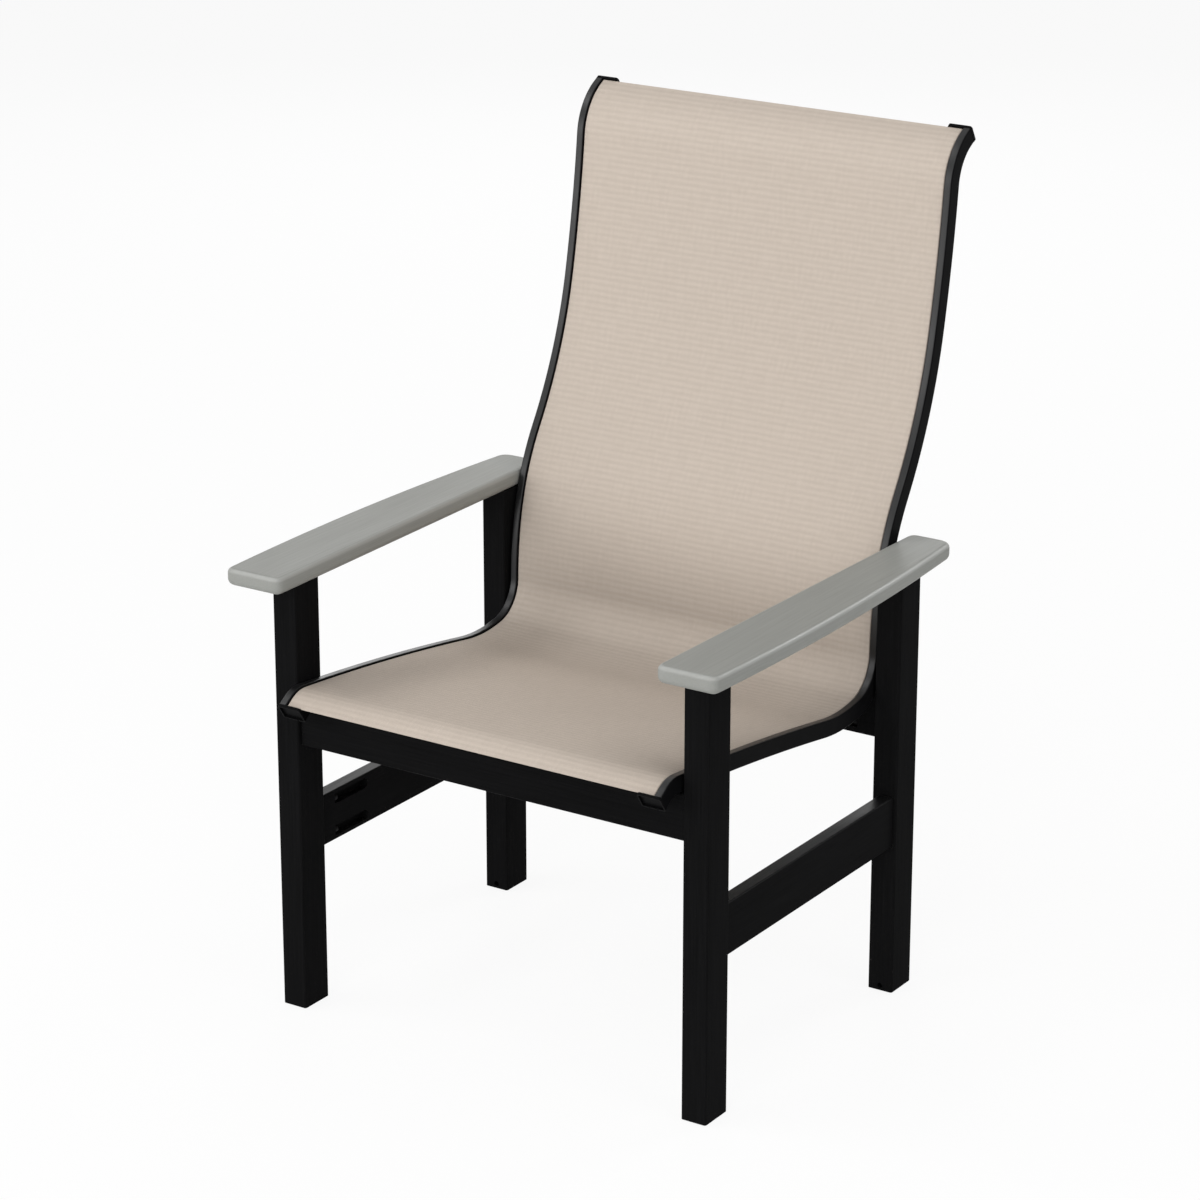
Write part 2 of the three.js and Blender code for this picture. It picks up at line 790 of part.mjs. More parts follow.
const apronBack = crossSetback + crossThickness;
const rearBoardFront = frameDepth - crossSetback - crossThickness;
const apronTop = Math.min(underRails(crossSetback), underRails(apronBack)) - gap;
const crossBoards = {
  front_apron: { leg: 'front', front: crossSetback, top: apronTop, height: apronHeight, open: 1 },
  rear_cross_board: {
    leg: 'back', front: rearBoardFront, top: underRails(rearBoardFront) - rearBoardClearance,
    height: rearBoardHeight, open: -1,
  },
};

for (const [name, board] of Object.entries(crossBoards)) {
  const half = legInner - gap;
  const bottom = board.top - board.height;
  const back = board.front + crossThickness;
  const body = straightBoard('x', { x: -half, y: board.front, z: bottom }, { x: half, y: back, z: board.top });
  const cuts = [];
  for (const [sideName, side] of Object.entries(sides)) {
    const end = boardEnd(
      new THREE.Vector3(side * legInner, board.open > 0 ? back : board.front, 0),
      axes.x.clone().multiplyScalar(side),
      axes.y.clone().multiplyScalar(board.open),
    );
    for (const { level, bolt, bore, pocket } of endBolts(end, bottom, board.height, crossPocketEdge)) {
      cuts.push(bore, pocket);
      legBores[`${board.leg}_${sideName}`].push(bore);
      addPiece(`${name}_bolt_${sideName}_${level}`, bolt, steel);
    }
  }
  addPiece(name, cut(body, cuts), lumber);
}

for (const [sideName, side] of Object.entries(sides)) {
  const outerFace = frameWidth / 2 - stretcherSetback;
  const innerFace = outerFace - stretcherThickness;
  const [lowX, highX] = [side * innerFace, side * outerFace].sort((a, b) => a - b);
  const body = straightBoard(
    'y',
    { x: lowX, y: legs.front + legDepth + gap, z: stretcherBottom },
    { x: highX, y: legs.back - gap, z: stretcherBottom + stretcherHeight },
  );
  const cuts = [];
  for (const place of Object.keys(legs)) {
    const end = boardEnd(
      new THREE.Vector3(side * innerFace, place === 'front' ? legs.front + legDepth : legs.back, 0),
      axes.y.clone().multiplyScalar(place === 'front' ? -1 : 1),
      axes.x.clone().multiplyScalar(-side),
    );
    const bolts = endBolts(end, stretcherBottom, stretcherHeight, stretcherPocketEdge);
    for (const { level, bolt, bore, pocket } of bolts) {
      cuts.push(bore, pocket);
      legBores[`${place}_${sideName}`].push(bore);
      addPiece(`stretcher_bolt_${place}_${sideName}_${level}`, bolt, steel);
    }
    const { bolt, spacer, bore } = railFixing(place, side);
    legBores[`${place}_${sideName}`].push(bore);
    railBores[sideName].push(bore);
    addPiece(`rail_bolt_${place}_${sideName}`, bolt, steel);
    addPiece(`rail_spacer_${place}_${sideName}`, spacer, plastic);
    addPiece(`leg_${place}_${sideName}`, buildLeg(place, side, legBores[`${place}_${sideName}`]), lumber);
    addPiece(`foot_glide_${place}_${sideName}`, buildGlide(place, side), plastic);
    addPiece(`arm_stud_${place}_${sideName}`, buildStud(place, side), steel);
  }
  addPiece(`side_stretcher_${sideName}`, cut(body, cuts), lumber);
  addPiece(`arm_${sideName}`, buildArm(side), armLumber);
}

const spreaders = {
  seat_spreader_bar: railLine.past('curl', seatBarPlace),
  back_spreader_bar: railLine.past('rise', backBarPlace),
};
for (const [name, t] of Object.entries(spreaders)) {
  const { bar, screws } = buildSpreader(t);
  addPiece(name, bar, railCoat);
  for (const { sideName, screw, bore } of screws) {
    railBores[sideName].push(bore);
    addPiece(`${name}_screw_${sideName}`, screw, steel);
  }
}

for (const [sideName, side] of Object.entries(sides)) {
  const rail = sweep(railLine, railOutline(side), [railHollow(side)]);
  addPiece(`sling_rail_${sideName}`, cut(rail, railBores[sideName]), railCoat);
  addPiece(`sling_spline_${sideName}`, sweep(clothLine, splineOutline(side, splineRadius)), plastic);
  addPiece(`rail_cap_front_${sideName}`, buildCap(side, false), plastic);
  addPiece(`rail_cap_top_${sideName}`, buildCap(side, true), plastic);
}

const hems = Object.values(sides).map((side) => splineOutline(side, hemBore));
addPiece('sling', sweep(clothLine, clothOutline(), hems), cloth);

// The origin is on the ground, under the middle of the whole chair
const extent = new THREE.Box3().setFromObject(chair);
chair.position.set(-(extent.min.x + extent.max.x) / 2, -(extent.min.y + extent.max.y) / 2, -extent.min.z);

export default chair;
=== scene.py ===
"""Sling patio chair: the looks of every surface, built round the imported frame."""

import json
import logging
import math
from collections.abc import Callable
from dataclasses import dataclass, field
from enum import IntEnum

import bpy
from mathutils import Matrix, Vector

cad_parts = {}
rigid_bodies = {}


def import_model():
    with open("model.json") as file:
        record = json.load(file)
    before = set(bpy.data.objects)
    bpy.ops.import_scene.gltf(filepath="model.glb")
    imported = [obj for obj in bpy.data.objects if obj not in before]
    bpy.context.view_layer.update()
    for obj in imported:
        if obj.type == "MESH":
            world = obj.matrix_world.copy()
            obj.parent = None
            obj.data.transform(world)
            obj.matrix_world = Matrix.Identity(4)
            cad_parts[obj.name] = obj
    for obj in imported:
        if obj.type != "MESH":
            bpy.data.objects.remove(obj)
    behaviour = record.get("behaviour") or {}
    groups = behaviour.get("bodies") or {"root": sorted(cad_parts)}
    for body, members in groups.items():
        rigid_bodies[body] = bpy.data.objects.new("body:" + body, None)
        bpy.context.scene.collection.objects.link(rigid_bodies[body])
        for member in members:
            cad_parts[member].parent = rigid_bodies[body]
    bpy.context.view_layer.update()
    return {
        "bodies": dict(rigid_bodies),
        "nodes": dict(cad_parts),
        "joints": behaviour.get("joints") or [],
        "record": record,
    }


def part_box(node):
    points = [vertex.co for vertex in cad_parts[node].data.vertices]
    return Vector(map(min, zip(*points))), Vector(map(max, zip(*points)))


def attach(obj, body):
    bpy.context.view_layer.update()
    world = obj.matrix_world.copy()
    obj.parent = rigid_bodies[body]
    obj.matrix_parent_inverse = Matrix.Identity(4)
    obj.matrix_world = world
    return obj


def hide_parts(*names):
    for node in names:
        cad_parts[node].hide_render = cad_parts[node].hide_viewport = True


MM = 0.001
HAIR = 0.01 * MM
SIDES = {"left": 1, "right": -1}
PLACES = {"front": -1, "back": 1}
LEVELS = ("lower", "upper")
WHITE = (1.0, 1.0, 1.0, 1.0)

log = logging.getLogger("sling_chair")

Pair = tuple[float, float]
Triple = tuple[float, float, float]
Span = Pair
Colour = Triple
Node = bpy.types.Node
Socket = bpy.types.NodeSocket
Material = bpy.types.Material
Piece = bpy.types.Object


class Axis(IntEnum):
    """The chair's axes, which boards, fastenings and their looks follow."""

    ACROSS = 0
    BACK = 1
    UP = 2


class Graph:
    """A node tree, with short calls for the nodes that the chair's finishes and its studio share."""

    def __init__(self, tree: bpy.types.NodeTree) -> None:
        """Keep a node tree and empty it."""
        self.tree = tree
        self.tree.nodes.clear()

    def add(self, kind: str, inputs: dict | None = None, **settings: object) -> Node:
        """Add a node, set its properties and fill or link its inputs.

        Args:
            kind: The node's type name.
            inputs: Values or sockets for its inputs, by name or index.
            settings: Properties of the node.

        Returns:
            The new node.
        """
        node = self.tree.nodes.new(kind)
        for key, value in settings.items():
            setattr(node, key, value)
        for key, value in (inputs or {}).items():
            self.fill(node.inputs[key], value)
        return node

    def fill(self, target: Socket, value: object) -> None:
        """Link a socket into an input, or set the input to a plain value.

        Args:
            target: The input.
            value: A socket or a plain value.
        """
        if isinstance(value, Socket):
            self.tree.links.new(value, target)
        else:
            target.default_value = value

    def math(self, operation: str, *values: object) -> Socket:
        """Return the result of a maths node on sockets or numbers."""
        return self.add("ShaderNodeMath", dict(enumerate(values)), operation=operation).outputs[0]

    def weigh(self, *parts: tuple[Socket, float]) -> Socket:
        """Add patterns up.

        Args:
            parts: Each pattern with its share.

        Returns:
            Their sum.
        """
        total = self.math("MULTIPLY", *parts[0])
        for pattern, share in parts[1:]:
            total = self.math("MULTIPLY_ADD", pattern, share, total)
        return total

    def stretch(self, vector: Socket, scale: Triple) -> Socket:
        """Return a vector that is scaled on each axis."""
        return self.add("ShaderNodeMapping", {"Vector": vector, "Scale": scale}).outputs[0]

    def noise(self, vector: Socket, detail: float, breaks: float = 0.5) -> Socket:
        """Return a noise pattern's value on a vector."""
        inputs = {"Vector": vector, "Scale": 1.0, "Detail": detail, "Roughness": breaks}
        return self.add("ShaderNodeTexNoise", inputs).outputs["Fac"]

    def speckle(self, size: Triple, detail: float, breaks: float = 0.5) -> Socket:
        """Make a noise pattern on object coordinates.

        Args:
            size: The pattern's size along each axis.
            detail: How many finer patterns lie on it.
            breaks: How strong those are.

        Returns:
            The pattern's value.
        """
        source = self.add("ShaderNodeTexCoord").outputs["Object"]
        scale = tuple(1 / length for length in size)
        return self.noise(self.stretch(source, scale), detail, breaks)

    def spread(self, value: Socket, span: Span, low: float = 0.0, high: float = 1.0) -> Socket:
        """Return a value mapped from a span onto the range from low to high, and kept inside it."""
        inputs = dict(zip(("Value", "From Min", "From Max", "To Min", "To Max"), (value, *span, low, high)))
        return self.add("ShaderNodeMapRange", inputs).outputs["Result"]

    def blend(self, factor: Socket, first: Colour | Socket, second: Colour) -> Socket:
        """Run from one colour to another.

        Args:
            factor: 0 for the first colour and 1 for the second.
            first: The first colour.
            second: The second colour.

        Returns:
            The blended colour.
        """
        node = self.add("ShaderNodeMix", {0: factor, 7: (*second, 1)}, data_type="RGBA")
        self.fill(node.inputs[6], first if isinstance(first, Socket) else (*first, 1))
        return node.outputs[2]

    def facing(self, axis: Axis) -> Socket:
        """Return how far a face looks along an axis, from -1 to 1."""
        normal = self.add("ShaderNodeNewGeometry").outputs["Normal"]
        return self.add("ShaderNodeSeparateXYZ", {0: normal}).outputs[axis]


class SurfaceGraph(Graph):
    """A material's graph, which starts with its shader and its output."""

    def __init__(self, name: str) -> None:
        """Start a material.

        Args:
            name: The material's name.
        """
        self.material = bpy.data.materials.new(name)
        self.material.use_nodes = True
        super().__init__(self.material.node_tree)
        self.shader = self.add("ShaderNodeBsdfPrincipled")
        self.add("ShaderNodeOutputMaterial", {"Surface": self.shader.outputs["BSDF"]})

    def dress(self, **inputs: object) -> None:
        """Fill the shader's inputs, whose names are given with _ for a space."""
        for name, value in inputs.items():
            self.fill(self.shader.inputs[name.replace("_", " ")], value)

    def relief(self, height: Socket, depth: float) -> None:
        """Give the surface a relief, from a pattern between 0 and 1 and a depth."""
        bump = self.add("ShaderNodeBump", {"Height": height, "Distance": depth, "Strength": 1.0})
        self.fill(self.shader.inputs["Normal"], bump.outputs[0])


@dataclass(frozen=True)
class Lumber:
    """Recycled-plastic lumber with a brushed grain, and a painted sheen set by the way its faces look.

    How far a face looks up, from -1 to 1, sets its gloss: a painted highlight on the rounded arrises and a
    painted reflection on the tops. That goes over to the painted edge sheen within the span rising, and to
    the painted top sheen within the span level.
    """

    name: str
    dark: Colour
    light: Colour
    roughness: Span
    gloss: float
    # Painted highlight and painted reflection: the gloss on rounded arrises and on tops.
    painted_edge_sheen: float
    painted_top_sheen: float
    rising: Span = (0.2, 0.5)
    level: Span = (0.85, 0.97)
    streak: float = 1.6 * MM
    streak_run: float = 90 * MM
    streak_detail: float = 3.0
    streak_breaks: float = 0.62
    streak_share: float = 0.7
    cloud: float = 45 * MM
    cloud_run: float = 360 * MM
    cloud_detail: float = 2.0
    cloud_share: float = 0.3
    tones: Span = (0.33, 0.67)
    depth: float = 0.12 * MM

    def material(self, axis: Axis) -> Material:
        """Make the finish for boards whose grain runs along one axis.

        Args:
            axis: The axis that the grain runs along.

        Returns:
            The material.
        """
        graph = SurfaceGraph(f"{self.name}_{axis.name.lower()}")
        fine = [self.streak] * 3
        fine[axis] = self.streak_run
        broad = [self.cloud] * 3
        broad[axis] = self.cloud_run
        streaks = graph.speckle(fine, self.streak_detail, self.streak_breaks)
        clouds = graph.speckle(broad, self.cloud_detail)
        tone = graph.spread(graph.weigh((streaks, self.streak_share), (clouds, self.cloud_share)), self.tones)
        # Painted sheen: the gloss follows which way a face looks, a painted highlight on the roundings and a
        # painted reflection on the tops.
        upwards = graph.facing(Axis.UP)
        edge = graph.spread(upwards, self.rising, self.gloss, self.painted_edge_sheen)
        flat = graph.spread(upwards, self.level)
        graph.dress(
            Base_Color=graph.blend(tone, self.dark, self.light),
            Roughness=graph.spread(tone, (0.0, 1.0), *self.roughness),
            Specular_IOR_Level=graph.add("ShaderNodeMix", {0: flat, 2: edge, 3: self.painted_top_sheen}).outputs[0],
        )
        graph.relief(streaks, self.depth)
        return graph.material


@dataclass(frozen=True)
class PowderCoat:
    """Satin black powder coat with a faint orange peel, and a painted sheen: glossy on faces that look
    forwards and up, nearly matt on faces that look across the chair, so the lips carry a painted highlight
    and the sides a painted shade.
    """

    name: str = "rail_coat"
    dark: Colour = (0.0035, 0.0035, 0.0038)
    light: Colour = (0.006, 0.006, 0.0064)
    roughness: Span = (0.32, 0.41)
    gloss: float = 0.35
    # Painted shade: the gloss left on faces that look across the chair.
    painted_side_gloss: float = 0.01
    sideways: Span = (0.3, 0.8)
    peel: float = 2.2 * MM
    haze: float = 44 * MM
    detail: float = 2.0
    tones: Span = (0.35, 0.65)
    wear: Span = (0.3, 0.7)
    depth: float = 0.02 * MM

    def material(self) -> Material:
        """Make the finish.

        Returns:
            The material.
        """
        graph = SurfaceGraph(self.name)
        # Painted sheen: the gloss falls as a face looks across the chair, a painted highlight on the lips and
        # a painted shade on the sides.
        sideways = graph.math("ABSOLUTE", graph.facing(Axis.ACROSS))
        haze = graph.speckle((self.haze,) * 3, self.detail)
        graph.dress(
            Base_Color=graph.blend(graph.spread(haze, self.tones), self.dark, self.light),
            Roughness=graph.spread(haze, self.wear, *self.roughness),
            Specular_IOR_Level=graph.spread(sideways, self.sideways, self.gloss, self.painted_side_gloss),
        )
        graph.relief(graph.speckle((self.peel,) * 3, self.detail), self.depth)
        return graph.material


@dataclass(frozen=True)
class MouldedPlastic:
    """Moulded black plastic with a fine spark-eroded grain."""

    name: str = "black_plastic"
    dark: Colour = (0.003, 0.003, 0.0032)
    light: Colour = (0.005, 0.005, 0.0053)
    roughness: Span = (0.41, 0.51)
    gloss: float = 0.02
    grain: float = 0.6 * MM
    detail: float = 1.0
    tones: Span = (0.35, 0.65)
    wear: Span = (0.3, 0.7)
    depth: float = 0.02 * MM

    def material(self) -> Material:
        """Make the finish.

        Returns:
            The material.
        """
        graph = SurfaceGraph(self.name)
        grain = graph.speckle((self.grain,) * 3, self.detail)
        graph.dress(
            Base_Color=graph.blend(graph.spread(grain, self.tones), self.dark, self.light),
            Roughness=graph.spread(grain, self.wear, *self.roughness),
            Specular_IOR_Level=self.gloss,
        )
        if self.depth:
            graph.relief(grain, self.depth)
        return graph.material


@dataclass(frozen=True)
class DarkSteel(MouldedPlastic):
    """Steel under a black oxide, rubbed a little by the tool that drove it, with no relief."""

    name: str = "fastener_steel"
    dark: Colour = (0.004, 0.004, 0.0042)
    light: Colour = (0.009, 0.009, 0.0093)
    roughness: Span = (0.3, 0.46)
    gloss: float = 0.04
    grain: float = 0.8 * MM
    detail: float = 3.0
    depth: float = 0.0


@dataclass(frozen=True)
class WovenMesh:
    """Outdoor sling cloth: uneven yarns both ways, a rib at every few picks, and a painted shade where it is
    closed in, in the seat's corner and beside the parts round it.
    """

    name: str = "sling_cloth"
    colour: Colour = (0.648, 0.568, 0.494)
    groove: Colour = (0.56, 0.486, 0.418)
    pore: Colour = (0.44, 0.377, 0.32)
    roughness: float = 0.78
    gloss: float = 0.2
    rib: float = 8.45 * MM
    picks: int = 6
    weft_slubs_per_metre: Triple = (38.0, 330.0, 1.0)
    warp_slubs_per_metre: Triple = (230.0, 32.0, 1.0)
    slub_detail: float = 3.0
    slub_breaks: float = 0.6
    rib_share: float = 0.3
    slub_share: float = 0.6
    tones: Span = (0.52, 0.98)
    pores: Span = (0.0, 0.12)
    rib_relief_share: float = 0.55
    yarn_relief_share: float = 0.45
    depth: float = 0.16 * MM
    # Painted shade: the share of the colour left where the cloth is most closed in, how far that is looked
    # for and with how many rays.
    shade: float = 0.32
    shade_reach: float = 210 * MM
    shade_rays: int = 8

    def material(self) -> Material:
        """Make the finish, which follows the cloth's own map in metres.

        Returns:
            The material.
        """
        graph = SurfaceGraph(self.name)
        cloth_map = graph.add("ShaderNodeUVMap", uv_map="cloth").outputs[0]
        across, along, _ = graph.add("ShaderNodeSeparateXYZ", {0: cloth_map}).outputs
        spot = graph.add("ShaderNodeCombineXYZ", {0: across, 1: along}).outputs[0]
        ribs = self.wave(graph, along, self.rib)
        pick = self.rib / self.picks
        yarns = graph.math("MULTIPLY", self.wave(graph, along, pick), self.wave(graph, across, pick))
        weft, warp = [
            graph.noise(graph.stretch(spot, scale), self.slub_detail, self.slub_breaks)
            for scale in (self.weft_slubs_per_metre, self.warp_slubs_per_metre)
        ]
        tone = graph.weigh((ribs, self.rib_share), (weft, self.slub_share), (warp, self.slub_share))
        ribbed = graph.blend(graph.spread(tone, self.tones), self.groove, self.colour)
        porous = graph.blend(graph.spread(yarns, self.pores, 1.0, 0.0), ribbed, self.pore)
        # Painted shade: an ambient-occlusion node darkens the cloth's colour where other surfaces close it
        # in, such as the seat's corner.
        reach = {"Distance": self.shade_reach}
        openness = graph.add("ShaderNodeAmbientOcclusion", reach, samples=self.shade_rays).outputs["AO"]
        level = graph.spread(openness, (0.0, 1.0), self.shade, 1.0)
        painted_shade_colour = graph.add("ShaderNodeVectorMath", {0: porous, 1: level}, operation="MULTIPLY")
        graph.dress(Base_Color=painted_shade_colour.outputs[0], Roughness=self.roughness, Specular_IOR_Level=self.gloss)
        graph.relief(graph.weigh((ribs, self.rib_relief_share), (yarns, self.yarn_relief_share)), self.depth)
        return graph.material

    @staticmethod
    def wave(graph: Graph, distance: Socket, pitch: float) -> Socket:
        """Return a wave from 0 to 1 that repeats at a pitch along a distance."""
        turned = graph.math("SINE", graph.math("MULTIPLY", distance, 2 * math.pi / pitch))
        return graph.math("MULTIPLY_ADD", turned, 0.5, 0.5)


@dataclass(frozen=True)
class Ring:
    """One station of the side line, with its heading in radians and its distance along the line."""

    y: float
    z: float
    heading: float
    distance: float

    def at(self, across: float, depth: float) -> Vector:
        """Return the point at a place across and a depth below the cloth's face."""
        back, down = depth * math.sin(self.heading), depth * math.cos(self.heading)
        return Vector((across, self.y + back, self.z - down))

    def along(self) -> Vector:
        """Return the direction that the line takes here."""
        return Vector((0, math.cos(self.heading), math.sin(self.heading)))


@dataclass
class SideLine:
    """The line, in the plane of the chair's side, that rails, cloth and splines follow.

    Each stretch has its length and the slope at its end in degrees. The seat's length follows the back legs.
    """

    reach: float = 42 * MM
    height: float = 446.5 * MM
    start_slope: float = 34.4
    bend_place: float = 10.3 * MM
    fine_step: float = 1 * MM
    fine_turn: float = 1.0
    stretches: dict[str, Pair] = field(default_factory=lambda: {
        "front": (12.5 * MM, 34.4),
        "curl": (30.2 * MM, -4.7),
        "seat": (0.0, -9.1),
        "dip": (83.5 * MM, 11.8),
        "bend": (71.2 * MM, 89.2),
        "lumbar": (90.1 * MM, 79.0),
        "recline": (126.1 * MM, 57.3),
        "rise": (213.9 * MM, 77.9),
        "shoulder": (191.5 * MM, 84.1),
        "roll": (77.2 * MM, 29.9),
        "top": (7.8 * MM, 29.9),
    })

    def __post_init__(self) -> None:
        """Let the seat run from the curl to the bend, which stands by the back legs."""
        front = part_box("leg_front_left")[0].y
        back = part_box("leg_back_left")[0].y
        self.start = Vector((0, front - self.reach, self.height))
        run, slope = 0.0, self.start_slope
        for name, (length, slope_after) in self.stretches.items():
            if name == "lumbar":
                break
            run += self.chord(length, slope, slope_after).y
            slope = slope_after
        wanted = self.reach + back + self.bend_place - front
        seat_slope = self.stretches["seat"][1]
        gain = self.chord(1.0, self.stretches["curl"][1], seat_slope).y
        self.stretches["seat"] = ((wanted - run) / gain, seat_slope)

    @staticmethod
    def chord(length: float, slope: float, slope_after: float) -> Vector:
        """Find the chord of an arc.

        Args:
            length: The arc's length.
            slope: The slope at its start in degrees.
            slope_after: The slope at its end.

        Returns:
            The way from its start to its end.
        """
        turn = math.radians(slope_after - slope)
        reach = length * math.sin(turn / 2) / (turn / 2) if turn else length
        mean = math.radians((slope + slope_after) / 2)
        return Vector((0, reach * math.cos(mean), reach * math.sin(mean)))

    def rings(self, step: float, turn: float, trim: float = 0.0) -> list[Ring]:
        """List stations along the line.

        Args:
            step: The largest distance between two stations.
            turn: The largest turn between them, in degrees.
            trim: How much the line is cut short at both ends.

        Returns:
            The stations, front to top.
        """
        slope, place, gone = self.start_slope, self.start.copy(), trim
        place += self.chord(trim, slope, slope)
        stations = [Ring(place.y, place.z, math.radians(slope), gone)]
        for name, (length, slope_after) in self.stretches.items():
            run = length - trim if name in ("front", "top") else length
            change = slope_after - slope
            count = max(1, math.ceil(run / step), math.ceil(abs(change) / turn))
            for _ in range(count):
                place += self.chord(run / count, slope, slope + change / count)
                slope += change / count
                gone += run / count
                stations.append(Ring(place.y, place.z, math.radians(slope), gone))
        return stations

    def past(self, name: str, distance: float) -> Ring:
        """Find the station at a distance past the end of a stretch.

        Args:
            name: The stretch's name.
            distance: How far past its end.

        Returns:
            The nearest station.
        """
        names = list(self.stretches)
        wanted = distance + sum(self.stretches[key][0] for key in names[:names.index(name) + 1])
        return min(self.rings(self.fine_step, self.fine_turn), key=lambda ring: abs(ring.distance - wanted))


def rest_selection() -> None:
    """Leave edit mode and deselect every object."""
    active = bpy.context.view_layer.objects.active
    if active and active.mode != "OBJECT":
        bpy.ops.object.mode_set(mode="OBJECT")
    bpy.ops.object.select_all(action="DESELECT")


def take_up(piece: Piece) -> None:
    """Make one object the selected and active one.

    Args:
        piece: The object.
    """
    rest_selection()
    piece.select_set(True)
    bpy.context.view_layer.objects.active = piece


def add_mesh(name: str, points: list[Vector], edges: list[tuple], faces: list[tuple]) -> Piece:
    """Put a drawn mesh into the scene as a new object.

    Args:
        name: The object's name.
        points: The mesh's points.
        edges: Pairs of their indices.
        faces: Faces as their indices.

    Returns:
        The object, active and alone selected.
    """
    mesh = bpy.data.meshes.new(name)
    mesh.from_pydata(points, edges, faces)
    piece = bpy.data.objects.new(name, mesh)
    bpy.context.scene.collection.objects.link(piece)
    take_up(piece)
    return piece


def draw_loops(name: str, loops: list[list[Vector]]) -> Piece:
    """Draw closed outlines as a new piece, and go to edit mode with all of it selected.

    Args:
        name: The piece's name.
        loops: The points of each outline.

    Returns:
        The piece.
    """
    points, edges = [], []
    for loop in loops:
        first = len(points)
        points += loop
        edges += [(first + i, first + (i + 1) % len(loop)) for i in range(len(loop))]
    piece = add_mesh(name, points, edges, [])
    bpy.ops.object.mode_set(mode="EDIT")
    bpy.ops.mesh.select_all(action="SELECT")
    return piece


def draw_curve(
    name: str, spots: list[list[Vector]], closed: bool, height: float, **settings: object
) -> Piece:
    """Draw a curve and make it a mesh.

    Args:
        name: The piece's name.
        spots: Each point of the curve with its handle before and its handle after.
        closed: Whether the last point joins the first.
        height: How high the curve is set.
        settings: Properties of the curve.

    Returns:
        The piece.
    """
    rest_selection()
    bpy.ops.curve.primitive_bezier_curve_add()
    drawn = bpy.context.object
    drawn.name = name
    for key, value in settings.items():
        setattr(drawn.data, key, value)
    spline = drawn.data.splines[0]
    spline.bezier_points.add(len(spots) - len(spline.bezier_points))
    spline.use_cyclic_u = closed
    for point, (place, before, after) in zip(spline.bezier_points, spots):
        point.handle_left_type = point.handle_right_type = "FREE"
        point.co = place
        point.handle_left = before
        point.handle_right = after
    drawn.location = (0, 0, height)
    bpy.ops.object.convert(target="MESH")
    piece = bpy.context.object
    bpy.ops.object.transform_apply(location=True, rotation=True, scale=True)
    clean_mesh(piece)
    return piece


def select_points(piece: Piece, wanted: Callable[[Vector], bool]) -> None:
    """Select the piece's points that pass a test, and go to edit mode.

    Args:
        piece: The active object.
        wanted: A test of a point's place.
    """
    bpy.ops.object.mode_set(mode="EDIT")
    bpy.ops.mesh.select_mode(type="VERT")
    bpy.ops.mesh.select_all(action="DESELECT")
    bpy.ops.object.mode_set(mode="OBJECT")
    for point in piece.data.vertices:
        point.select = wanted(point.co)
    bpy.ops.object.mode_set(mode="EDIT")


def extrude(x: float, y: float, z: float) -> None:
    """Extrude the selected points, edges or faces by an offset."""
    bpy.ops.mesh.extrude_region_move(TRANSFORM_OT_translate={"value": (x, y, z)})


def clean_mesh(piece: Piece) -> None:
    """Merge a piece's doubled points and turn its faces outwards.

    Args:
        piece: The piece.
    """
    take_up(piece)
    bpy.ops.object.mode_set(mode="EDIT")
    bpy.ops.mesh.select_all(action="SELECT")
    bpy.ops.mesh.remove_doubles(threshold=HAIR)
    bpy.ops.mesh.normals_make_consistent(inside=False)
    bpy.ops.object.mode_set(mode="OBJECT")


def add_modifier(piece: Piece, kind: str, **settings: object) -> bpy.types.Modifier:
    """Give a piece a modifier.

    Args:
        piece: The piece.
        kind: The modifier's type.
        settings: Its properties.

    Returns:
        The modifier, still live.
    """
    modifier = piece.modifiers.new(kind.lower(), kind)
    for key, value in settings.items():
        setattr(modifier, key, value)
    return modifier


def work(piece: Piece, kind: str, **settings: object) -> None:
    """Give the active piece a modifier with some properties, and apply it."""
    bpy.ops.object.modifier_apply(modifier=add_modifier(piece, kind, **settings).name)


def smooth(piece: Piece, angle: float = 35.0) -> None:
    """Shade a piece smooth and keep its flats flat.

    Args:
        piece: The piece.
        angle: Edges sharper than this many degrees stay sharp.
    """
    take_up(piece)
    bpy.ops.object.shade_smooth_by_angle(angle=math.radians(angle))
    work(piece, "WEIGHTED_NORMAL", keep_sharp=True)


def ease_edges(piece: Piece, width: float, angle: float = 40.0, parts: int = 2) -> None:
    """Round the sharp edges of a piece.

    Args:
        piece: The piece.
        width: How wide the rounding is.
        angle: Edges sharper than this many degrees are rounded.
        parts: How many faces the rounding has across it.
    """
    take_up(piece)
    limit = math.radians(angle)
    work(piece, "BEVEL", width=width, segments=parts, limit_method="ANGLE", angle_limit=limit)


def set_in_place(piece: Piece, axis: Axis, sense: int, place: Vector) -> None:
    """Turn a piece that was made along Z, set it in its place and smooth it.

    Args:
        piece: The piece.
        axis: The axis that it comes to lie along.
        sense: 1 where its Z comes to point up that axis, or -1.
        place: Where its origin comes to lie.
    """
    way = Vector([sense if i == axis else 0 for i in range(3)])
    piece.rotation_euler = way.to_track_quat("Z", "Y").to_euler()
    piece.location = place
    take_up(piece)
    bpy.ops.object.transform_apply(location=True, rotation=True, scale=True)
    smooth(piece)


def finish_piece(piece: Piece, material: Material, slot: str, *nodes: str) -> None:
    """Dress a new piece, let it stand for its nodes and fix it to the chair's one body.

    Args:
        piece: The finished piece.
        material: Its material.
        slot: The record's slot that the finish belongs to; not used.
        nodes: The nodes that it replaces.
    """
    piece.data.materials.clear()
    piece.data.materials.append(material)
    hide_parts(*nodes)
    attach(piece, "root")
    log.info("%s: %d faces", piece.name, len(piece.data.polygons))


